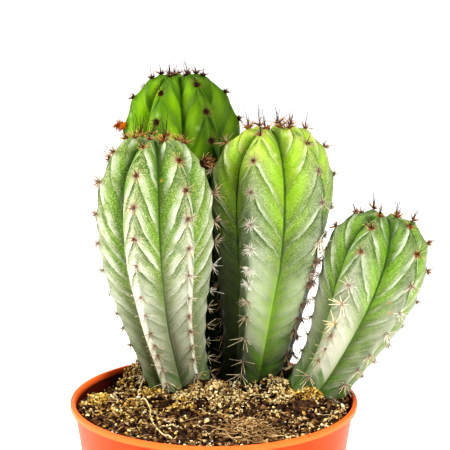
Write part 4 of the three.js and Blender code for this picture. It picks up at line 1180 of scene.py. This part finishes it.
def plastic_material(colour):
    """Injection-moulded polypropylene: satin and faintly mottled, with a few specks of soil, a painted highlight on
    the rim band, a painted shadow in the crease below it and painted shade inside the wall.
    """
    material, tree, where = new_material("moulded_polypropylene")
    # Flow marks about 12 mm wide, drawn out up the wall.
    stretched = add_node(tree, "ShaderNodeMapping", {"Vector": where, "Scale": (1, 1, 0.25)}).outputs[0]
    flow = add_node(tree, "ShaderNodeTexNoise", {"Vector": stretched, "Scale": 80, "Detail": 3}).outputs[0]
    flow_share = add_node(tree, "ShaderNodeMapRange", {0: flow, 1: 0.35, 2: 0.7, 3: 0, 4: 0.3}).outputs[0]
    # Specks of soil under 1 mm.
    specks = add_node(tree, "ShaderNodeTexVoronoi", {"Vector": where, "Scale": 90}).outputs["Distance"]
    speck = add_node(tree, "ShaderNodeMapRange", {0: specks, 1: 0.035, 2: 0.06, 3: 0.8, 4: 0}).outputs[0]
    # The rim band is painted lighter: a painted highlight.
    height = add_node(tree, "ShaderNodeSeparateXYZ", {0: where}).outputs[2]
    rim = add_node(tree, "ShaderNodeMapRange", {0: height, 1: (POT_HEIGHT - BAND_HEIGHT) * MM,
                                                      2: (POT_HEIGHT - 1.8) * MM, 3: 0, 4: 0.55}).outputs[0]
    # A thin painted shadow line lies in the crease below the rim.
    off = add_node(tree, "ShaderNodeMath", {0: height, 1: (POT_HEIGHT - BAND_HEIGHT) * MM}, operation="SUBTRACT")
    off = add_node(tree, "ShaderNodeMath", {0: off.outputs[0]}, operation="ABSOLUTE").outputs[0]
    crease_shadow = add_node(tree, "ShaderNodeMapRange", {0: off, 1: 0.1 * MM, 2: 0.5 * MM, 3: 0.6, 4: 0}).outputs[0]
    # Inside of the middle of the wall, and above the floor, the wall is painted dark: painted shade inside the pot.
    radius = add_node(tree, "ShaderNodeVectorMath", {0: where, 1: (1, 1, 0)}, operation="MULTIPLY").outputs[0]
    radius = add_node(tree, "ShaderNodeVectorMath", {0: radius}, operation="LENGTH").outputs["Value"]
    slope = (WALL_TOP_RADIUS - BASE_RADIUS) / (POT_HEIGHT - BAND_HEIGHT)
    middle = add_node(tree, "ShaderNodeMath", {0: height, 1: slope, 2: (BASE_RADIUS - 0.4) * MM},
                      operation="MULTIPLY_ADD").outputs[0]
    depth = add_node(tree, "ShaderNodeMath", {0: middle, 1: radius}, operation="SUBTRACT").outputs[0]
    inner_shade = add_node(tree, "ShaderNodeMapRange", {0: depth, 1: 0, 2: 0.0003, 3: 0, 4: 0.95}).outputs[0]
    above = add_node(tree, "ShaderNodeMath", {0: height, 1: (FLOOR_TOP - 0.5) * MM}, operation="GREATER_THAN")
    inner_shade = add_node(tree, "ShaderNodeMath", {0: inner_shade, 1: above.outputs[0]}, operation="MULTIPLY").outputs[0]
    shade = tuple(colour) + (1.0,)
    for share, over in ((flow_share, "#F25418"), (rim, "#F68A42"), (crease_shadow, "#8A2C0C"), (inner_shade, "#2A0E0A"),
                        (speck, "#6B3A20")):
        shade = add_node(tree, "ShaderNodeMix", {0: share, 6: shade, 7: linear(over)}, data_type="RGBA").outputs[2]
    # Spark-eroded mould grain of about 0.6 mm.
    grain = add_node(tree, "ShaderNodeTexNoise", {"Vector": where, "Scale": 1600, "Detail": 2}).outputs[0]
    rough = add_node(tree, "ShaderNodeMapRange", {0: grain, 3: 0.34, 4: 0.5}).outputs[0]
    bump = add_node(tree, "ShaderNodeBump", {"Height": grain, "Strength": 0.12, "Distance": 0.2 * MM}).outputs[0]
    finish_material(tree, {"Base Color": shade, "Roughness": rough, "Normal": bump, "IOR": 1.49,
                           "Specular IOR Level": 0.25, "Subsurface Weight": 0.08,
                           "Subsurface Radius": (0.002, 0.001, 0.0005)})
    return material


def tinted_material(name, roughness, grain_mm, depth):
    """A dry natural material whose copies each carry their own tint, with a fine grain in it."""
    material, tree, where = new_material(name)
    tint = add_node(tree, "ShaderNodeAttribute", attribute_name="tint").outputs["Color"]
    grain = add_node(tree, "ShaderNodeTexNoise", {"Vector": where, "Scale": 1000 / grain_mm, "Detail": 3}).outputs[0]
    share = add_node(tree, "ShaderNodeMapRange", {0: grain, 1: 0.3, 2: 0.7, 3: 0.72, 4: 1.2}).outputs[0]
    colour = add_node(tree, "ShaderNodeVectorMath", {0: tint, "Scale": share}, operation="SCALE").outputs[0]
    bump = add_node(tree, "ShaderNodeBump", {"Height": grain, "Strength": 0.4, "Distance": depth * MM}).outputs[0]
    finish_material(tree, {"Base Color": colour, "Normal": bump, "Roughness": roughness, "IOR": 1.45,
                           "Specular IOR Level": 0.2})
    return material


def peat_material():
    """Damp peat: very dark and fibrous, with paler dry crumbs."""
    material, tree, where = new_material("damp_peat")
    # Crumbs of about 1.5 mm and fibres of about 0.4 mm.
    crumbs = add_node(tree, "ShaderNodeTexNoise", {"Vector": where, "Scale": 700, "Detail": 6,
                                                   "Roughness": 0.7}).outputs[0]
    colour = add_node(tree, "ShaderNodeValToRGB", {0: crumbs}, stops=[
        (0.3, "#150B07"), (0.45, "#301D12"), (0.58, "#5A3E27"), (0.72, "#94744A")]).outputs[0]
    bump = add_node(tree, "ShaderNodeBump", {"Height": crumbs, "Strength": 0.8, "Distance": 0.8 * MM}).outputs[0]
    finish_material(tree, {"Base Color": colour, "Normal": bump, "Roughness": 0.95})
    return material


# Marks of the skin. Phase is the place between one areole's line (0.5) and the next, flank runs from the crest
# (0) to the furrow (1), and grain, feather and patches are noises.
SKIN_RAMPS = {
    "band_width": ("flank", [(0, 0.12), (0.15, 0.3), (0.5, 0.42), (0.85, 0.25), (1, 0.12)]),
    "band_reach": ("flank", [(0, 0.4), (0.1, 1), (0.75, 0.85), (1, 0.2)]),
    # A painted shadow just below each band, where the skin turns under.
    "shadow_line": ("phase", [(0.51, 0), (0.56, 1), (0.66, 0.55), (0.88, 0)]),
    "shadow_reach": ("flank", [(0.02, 0), (0.1, 1), (0.45, 0.7), (0.8, 0.15), (1, 0)]),
    "lush_reach": ("flank", [(0.15, 0), (0.55, 0.8), (1, 1)]),
    "lush_phase": ("phase", [(0, 0.7), (0.3, 0.3), (0.5, 0), (0.6, 0.9), (1, 0.7)]),
    "streak": ("feather", [(0.4, 0), (0.66, 1)]),
    "dark_streak": ("feather", [(0.34, 1), (0.48, 0)]),
    "broken": ("patches", [(0.36, 0.15), (0.56, 1)]),
    "streaky": ("feather", [(0.32, 0.35), (0.6, 1)]),
    "patch": ("patches", [(0.42, 0), (0.68, 1)]),
    "frosted": ("patches", [(0.4, 1), (0.62, 0.25)]),
    "crest": ("flank", [(0, 1), (0.3, 0.7), (0.75, 0)]),
    "light_grain": ("grains", [(0.5, 0), (0.62, 1)]),
    "dark_grain": ("grains", [(0.36, 1), (0.47, 0)]),
    # Painted shade along the furrows.
    "furrow_shade_line": ("wavering", [(0.93, 0), (0.985, 1)]),
    "furrow_shade_side": ("flank", [(0.4, 0), (0.95, 1)]),
    "vein_side": ("wavering", [(0.7, 0), (0.96, 1)]),
    "apex": ("row_share", [(0, 0.8), (0.12, 0.5), (0.3, 0)]),
    "leaf_phase": ("phase", [(0.5, 0), (0.58, 1), (0.85, 0.7), (1, 0)]),
    "leaf_reach": ("flank", [(0.1, 0), (0.35, 1), (0.9, 0.8)]),
    "pale_sheen_flank": ("skin_sheen_shade", [(0.5, 0), (1, 1)]),
    "dull_shaded_flank": ("skin_sheen_shade", [(0, 1), (0.5, 0)]),
}
# Each mark is the product of its shares and is laid over the marks before it, in the colour named last.
SKIN_MARKS = (
    (("patch", 0.5), "shade"),
    (("lush_reach", "lush_phase", "lush"), "lush"),
    (("streak", "bloom", "broken"), "bloom"),
    (("crest", "frosted", "frost"), "band"),
    # Paler skin with a painted sheen on flanks that turn away.
    (("pale_sheen_flank",), "pale_sheen"),
    (("dark_streak", "streaks"), "shade"),
    # Painted shadow below each band.
    (("shadow_line", "shadow_reach", "edge"), "shade"),
    (("band_rise", "band_drop", "band_reach", "band", "broken", "streaky"), "band"),
    (("leaf_phase", "leaf_reach", "leaf", 0.85), "leaf"),
    (("light_grain", "grain"), "grain"),
    (("dark_grain", "grain", 0.7), "shade"),
    (("vein_side", "vein"), "lush"),
    # Painted shade in the furrows and in the furrow wedges near the apex.
    (("furrow_shade_side", "apex"), "furrow"),
    (("furrow_shade_line", "furrow"), "furrow"),
    # Painted shade on flanks that a neighbouring stem keeps the light off, in part duller skin.
    (("dull_shaded_flank", 0.85), "dull"),
)


def skin_material(name):
    """Waxy cactus skin: green that pales downwards, with a chalky bloom and chevrons below each areole."""
    look = SKINS[name]
    stem = Stem(STEMS[name])
    material, tree, where = new_material(f"waxy_skin_{name}")
    ribs = add_node(tree, "ShaderNodeUVMap", uv_map="ribs").outputs[0]
    split = add_node(tree, "ShaderNodeSeparateXYZ", {0: ribs})
    across, count = split.outputs[0], split.outputs[1]
    values = {layer: add_node(tree, "ShaderNodeAttribute", attribute_name=layer).outputs["Fac"]
              for layer in ("row_share", "skin_sheen_shade")}
    # Flank: 0 on the crest, 1 in the furrow.
    part = add_node(tree, "ShaderNodeMath", {0: across, 1: 0.5}, operation="ADD").outputs[0]
    part = add_node(tree, "ShaderNodeMath", {0: part}, operation="FRACT").outputs[0]
    part = add_node(tree, "ShaderNodeMath", {0: part, 1: 2, 2: -1}, operation="MULTIPLY_ADD").outputs[0]
    values["flank"] = add_node(tree, "ShaderNodeMath", {0: part}, operation="ABSOLUTE").outputs[0]
    # An areole's line wanders about every 5 mm.
    wander = add_node(tree, "ShaderNodeTexNoise", {"Vector": where, "Scale": 200, "Detail": 2}).outputs[0]
    shifted = add_node(tree, "ShaderNodeMath", {0: wander, 1: 0.34, 2: count}, operation="MULTIPLY_ADD").outputs[0]
    fall = add_node(tree, "ShaderNodeValToRGB", {0: values["row_share"]}, stops=CHEVRON_FALL).outputs[0]
    fall = add_node(tree, "ShaderNodeMath", {0: fall, 1: values["flank"]}, operation="MULTIPLY").outputs[0]
    phase = add_node(tree, "ShaderNodeMath", {0: shifted, 1: fall}, operation="SUBTRACT").outputs[0]
    phase = add_node(tree, "ShaderNodeMath", {0: phase, 1: 0.33}, operation="ADD").outputs[0]
    values["phase"] = add_node(tree, "ShaderNodeMath", {0: phase}, operation="FRACT").outputs[0]
    # Blotches of about 8 mm, grains of about 0.5 mm and feather-like streaks from the crest to the furrow.
    values["patches"] = add_node(tree, "ShaderNodeTexNoise", {
        "Vector": where, "Scale": 120, "Detail": 3}).outputs[0]
    values["grains"] = add_node(tree, "ShaderNodeTexNoise", {
        "Vector": where, "Scale": 2000, "Detail": 2, "Roughness": 0.7}).outputs[0]
    rows = add_node(tree, "ShaderNodeMath", {0: shifted, 1: 9.0}, operation="MULTIPLY").outputs[0]
    columns = add_node(tree, "ShaderNodeMath", {0: across, 1: 2.2}, operation="MULTIPLY").outputs[0]
    feather_place = add_node(tree, "ShaderNodeCombineXYZ", {0: rows, 1: columns}).outputs[0]
    values["feather"] = add_node(tree, "ShaderNodeTexNoise", {
        "Vector": feather_place, "Scale": 1.3, "Detail": 4, "Roughness": 0.65}).outputs[0]
    bent = add_node(tree, "ShaderNodeMath", {0: values["feather"], 1: 0.1, 2: -0.05},
                    operation="MULTIPLY_ADD").outputs[0]
    values["wavering"] = add_node(tree, "ShaderNodeMath", {0: values["flank"], 1: bent}, operation="ADD").outputs[0]
    for mark, (source, stops) in SKIN_RAMPS.items():
        values[mark] = add_node(tree, "ShaderNodeValToRGB", {0: values[source]}, stops=stops).outputs[0]
    for mark in ("band", "edge", "lush", "bloom", "streaks", "frost", "grain", "furrow", "vein", "leaf"):
        values[mark] = add_node(tree, "ShaderNodeValToRGB", {0: values["row_share"]}, stops=look[mark]).outputs[0]
    # A band is soft above, where it grows over its width, and sharp below.
    start = add_node(tree, "ShaderNodeMath", {0: values["band_width"], 1: -look["width"], 2: 0.5},
                     operation="MULTIPLY_ADD").outputs[0]
    values["band_rise"] = add_node(tree, "ShaderNodeMapRange", {
        0: values["phase"], 1: start, 2: 0.5}, interpolation_type="SMOOTHSTEP").outputs[0]
    values["band_drop"] = add_node(tree, "ShaderNodeMapRange", {
        0: values["phase"], 1: 0.5, 2: 0.54, 3: 1, 4: 0}).outputs[0]
    colours = {"shade": SHADE_COLOUR, "lush": look["lush_colour"], "bloom": BLOOM_COLOUR, "pale_sheen": PALE_SHEEN_COLOUR,
               "band": BAND_COLOUR, "leaf": LEAF_COLOUR, "grain": GRAIN_COLOUR, "furrow": FURROW_SHADE_COLOUR,
               "dull": DULL_SHADE_COLOUR}
    skin = add_node(tree, "ShaderNodeValToRGB", {0: values["row_share"]}, stops=look["body"]).outputs[0]
    for shares, colour in SKIN_MARKS:
        share = 1.0
        for factor in shares:
            share = add_node(tree, "ShaderNodeMath", {0: share, 1: values.get(factor, factor)},
                             operation="MULTIPLY").outputs[0]
        skin = add_node(tree, "ShaderNodeMix", {0: share, 6: skin, 7: linear(colours[colour])},
                        data_type="RGBA").outputs[2]
    # Scars, and pale spots that are painted highlights.
    for rib, side, distance, radius, colour, strength in look["scars_and_highlights"]:
        spot = tuple(stem.skin(rib, np.array([side]), np.array([distance]))[0] * MM)
        away = add_node(tree, "ShaderNodeVectorMath", {0: where, 1: spot}, operation="DISTANCE").outputs["Value"]
        ragged = add_node(tree, "ShaderNodeMath", {0: values["grains"], 1: 1.2 * MM, 2: away},
                          operation="MULTIPLY_ADD").outputs[0]
        ragged = add_node(tree, "ShaderNodeMath", {0: values["feather"], 1: 0.8 * radius * MM, 2: ragged},
                          operation="MULTIPLY_ADD").outputs[0]
        share = add_node(tree, "ShaderNodeMapRange", {
            0: ragged, 1: (0.2 * radius + 1) * MM, 2: (radius + 1) * MM, 3: strength, 4: 0},
            interpolation_type="SMOOTHSTEP").outputs[0]
        skin = add_node(tree, "ShaderNodeMix", {0: share, 6: skin, 7: linear(colour)}, data_type="RGBA").outputs[2]
    dull = add_node(tree, "ShaderNodeMapRange", {0: values["streak"], 3: 0.36, 4: 0.55}).outputs[0]
    relief = add_node(tree, "ShaderNodeMath", {0: values["feather"], 1: 0.5, 2: values["grains"]},
                      operation="MULTIPLY_ADD").outputs[0]
    bump = add_node(tree, "ShaderNodeBump", {"Height": relief, "Strength": 0.4, "Distance": 0.4 * MM}).outputs[0]
    finish_material(tree, {"Base Color": skin, "Roughness": dull, "Normal": bump, "IOR": 1.45,
                           "Specular IOR Level": look["gloss"], "Subsurface Weight": 0.05,
                           "Subsurface Radius": (0.0012, 0.002, 0.0005)})
    return material


# Soft lights: name, place in metres, width and share of the power.
LIGHTS = (
    ("left_softbox", (-0.95, -0.2, 0.5), 0.4, 0.95),
    ("key_softbox", (0.6, -0.8, 0.65), 0.4, 1.1),
    ("top_softbox", (0.0, 0.1, 1.0), 0.5, 0.35),
)
AIM = (0.005, 0.01, 0.13)
# The camera stands where the photograph's did, looking down by some degrees.
CAMERA_PLACE = (0.004038, -0.568109, 0.286007)
CAMERA_DOWN = 12.5645
CAMERA_SENSOR = 36
CAMERA_LENS = 129.98


def white_floor(size, glow):
    """The white table that the pot stands on, just below it."""
    deselect_all()
    bpy.ops.mesh.primitive_plane_add(size=size, location=(0, 0, -0.2 * MM))
    floor = bpy.context.object
    bpy.ops.object.transform_apply(location=True)
    floor.name = "studio_floor"
    # White paper, with a mottle of about 0.3 m that hardly shows.
    paper, tree, where = new_material("white_paper")
    mottle = add_node(tree, "ShaderNodeTexNoise", {"Vector": where, "Scale": 3}).outputs[0]
    shade = add_node(tree, "ShaderNodeMix", {0: mottle, 6: linear("#F7F7F7"), 7: linear("#FBFBFB")},
                     data_type="RGBA").outputs[2]
    finish_material(tree, {"Base Color": shade, "Roughness": 0.8, "Emission Color": (1, 1, 1, 1),
                           "Emission Strength": glow})
    floor.data.materials.append(paper)
    return floor


def softbox(name, place, size, power):
    """A round soft light that looks at the stems."""
    data = bpy.data.lights.new(name, "AREA")
    data.shape = "DISK"
    data.size = size
    data.energy = power
    lamp = bpy.data.objects.new(name, data)
    lamp.location = place
    lamp.rotation_euler = (Vector(place) - Vector(AIM)).to_track_quat("Z", "Y").to_euler()
    bpy.context.scene.collection.objects.link(lamp)


def white_surround(light, front_share):
    """A white tent behind and beside the object, open towards the viewer."""
    world = bpy.data.worlds.new("white_surround")
    world.use_nodes = True
    tree = world.node_tree
    sky = tree.nodes["Background"]
    sky.inputs["Color"].default_value = (1, 1, 1, 1)
    heading = add_node(tree, "ShaderNodeTexCoord").outputs["Generated"]
    depth = add_node(tree, "ShaderNodeSeparateXYZ", {0: heading}).outputs[1]
    tent = add_node(tree, "ShaderNodeMapRange", {0: depth, 1: -0.7, 2: 0.3, 3: light * front_share, 4: light},
                    interpolation_type="SMOOTHSTEP").outputs[0]
    seen = add_node(tree, "ShaderNodeLightPath").outputs["Is Camera Ray"]
    strength = add_node(tree, "ShaderNodeMapRange", {0: seen, 3: tent, 4: 1.0}).outputs[0]
    tree.links.new(strength, sky.inputs["Strength"])
    return world


def photo_camera():
    """The camera of the front view."""
    data = bpy.data.cameras.new("photo_view")
    data.sensor_width = CAMERA_SENSOR
    data.lens = CAMERA_LENS
    data.clip_start = 0.01
    camera = bpy.data.objects.new("photo_view", data)
    camera.location = CAMERA_PLACE
    camera.rotation_euler = (math.radians(90 - CAMERA_DOWN), 0, 0)
    bpy.context.scene.collection.objects.link(camera)
    return camera


class PotSettings(PropertyGroup):
    rim_radius: FloatProperty(name="Rim radius", description="Outer radius of the pot's rim",
                              default=RIM_RADIUS * MM, unit="LENGTH")
    height: FloatProperty(name="Height", description="Height of the pot", default=POT_HEIGHT * MM, unit="LENGTH")
    colour: FloatVectorProperty(name="Colour", description="Colour of the plastic", subtype="COLOR",
                                default=linear("#F04206")[:3], min=0, max=1)


class SoilSettings(PropertyGroup):
    cover: FloatProperty(name="Cover", description="Share of the grains and flakes that lie on the soil",
                         default=1.0, min=0, max=1, subtype="FACTOR")


class StemSettings(PropertyGroup):
    fullness: FloatProperty(name="Spine fullness", description="How full the ring of spines on an areole is",
                            default=1.0, min=0.3, max=2)


class StageSettings(PropertyGroup):
    key_power: FloatProperty(name="Softboxes", description="Power of each side light", default=9.5, unit="POWER")
    surround: FloatProperty(name="Surround", description="Light from the white surroundings", default=0.55, min=0)
    front_share: FloatProperty(name="Front share", description="Share of it that comes from the viewer's side",
                               default=0.05, min=0, max=1, subtype="FACTOR")
    floor_glow: FloatProperty(name="Floor glow", description="Light that the white table gives off",
                              default=0.5, min=0)
    floor_size: FloatProperty(name="Floor size", description="Width of the floor", default=2.4, unit="LENGTH")


class CACTUS_OT_pot(Operator):
    """Builds the plastic pot"""
    bl_idname = "cactus.pot"
    bl_label = "Build pot"

    def execute(self, context):
        settings = context.scene.cactus_pot
        pot = pot_body(settings)
        finish_piece(pot, "nursery_pot", plastic_material(settings.colour), "pot_plastic", "pot")
        return {"FINISHED"}


class CACTUS_OT_soil(Operator):
    """Builds the soil and everything that lies on it"""
    bl_idname = "cactus.soil"
    bl_label = "Build soil"

    def execute(self, context):
        settings = context.scene.cactus_soil
        finish_piece(soil_bed(), "soil_bed", peat_material(), "potting_soil", "soil")
        dry = tinted_material("dry_plant_litter", 0.85, 0.8, 0.2)
        for kind in LITTER:
            finish_piece(litter(kind, settings.cover), kind, dry, "potting_soil", "soil")
        fibre = tinted_material("dry_root_fibre", 0.7, 0.5, 0.1)
        finish_piece(pale_root(), "pale_root", fibre, "potting_soil", "soil")
        finish_piece(fibre_mat(), "fibre_mat", fibre, "potting_soil", "soil")
        return {"FINISHED"}


class CACTUS_OT_stems(Operator):
    """Builds the ribbed skins of the four stems"""
    bl_idname = "cactus.stems"
    bl_label = "Build stems"

    def execute(self, context):
        for name, spec in STEMS.items():
            finish_piece(stem_skin(name), f"{name}_skin", skin_material(name), spec["slot"], name)
        return {"FINISHED"}


class CACTUS_OT_spines(Operator):
    """Builds the spines and wool on every areole"""
    bl_idname = "cactus.spines"
    bl_label = "Build spines"

    def execute(self, context):
        fullness = context.scene.cactus_stems.fullness
        horn = tinted_material("horny_spine", 0.5, 0.6, 0.05)
        for name, spec in STEMS.items():
            finish_piece(stem_spines(name, fullness), f"{name}_spines", horn, spec["slot"], name)
        return {"FINISHED"}


class CACTUS_OT_stage(Operator):
    """Sets up the floor, the soft lights and the camera"""
    bl_idname = "cactus.stage"
    bl_label = "Set stage"

    def execute(self, context):
        scene = context.scene
        settings = scene.cactus_stage
        white_floor(settings.floor_size, settings.floor_glow)
        for name, place, size, share in LIGHTS:
            softbox(name, place, size, settings.key_power * share)
        scene.world = white_surround(settings.surround, settings.front_share)
        scene.camera = photo_camera()
        scene.view_settings.view_transform = "Standard"
        scene.view_settings.look = "High Contrast"
        return {"FINISHED"}


class CACTUS_PT_panel(Panel):
    """Lists the pieces of the clump"""
    bl_idname = "CACTUS_PT_panel"
    bl_label = "Potted cactus"
    bl_space_type = "VIEW_3D"
    bl_region_type = "UI"
    bl_category = "Cactus"

    def draw(self, context):
        for group, (settings, operators) in GROUPS.items():
            box = self.layout.box()
            for name in settings.__annotations__:
                box.prop(getattr(context.scene, group), name)
            for operator in operators:
                box.operator(operator)


CLASSES = (PotSettings, SoilSettings, StemSettings, StageSettings, CACTUS_OT_pot, CACTUS_OT_soil,
           CACTUS_OT_stems, CACTUS_OT_spines, CACTUS_OT_stage, CACTUS_PT_panel)
# The panel's boxes: where the scene keeps the settings, their group and the operators that use them.
GROUPS = {
    "cactus_pot": (PotSettings, ("cactus.pot",)),
    "cactus_soil": (SoilSettings, ("cactus.soil",)),
    "cactus_stems": (StemSettings, ("cactus.stems", "cactus.spines")),
    "cactus_stage": (StageSettings, ("cactus.stage",)),
}


def register():
    for cls in CLASSES:
        bpy.utils.register_class(cls)
    for group, (settings, _) in GROUPS.items():
        setattr(bpy.types.Scene, group, PointerProperty(type=settings))


def unregister():
    for group in GROUPS:
        delattr(bpy.types.Scene, group)
    for cls in reversed(CLASSES):
        bpy.utils.unregister_class(cls)


def main():
    register()
    bpy.ops.cactus.pot()
    bpy.ops.cactus.soil()
    bpy.ops.cactus.stems()
    bpy.ops.cactus.spines()
    bpy.ops.cactus.stage()


if __name__ == "__main__":
    main()
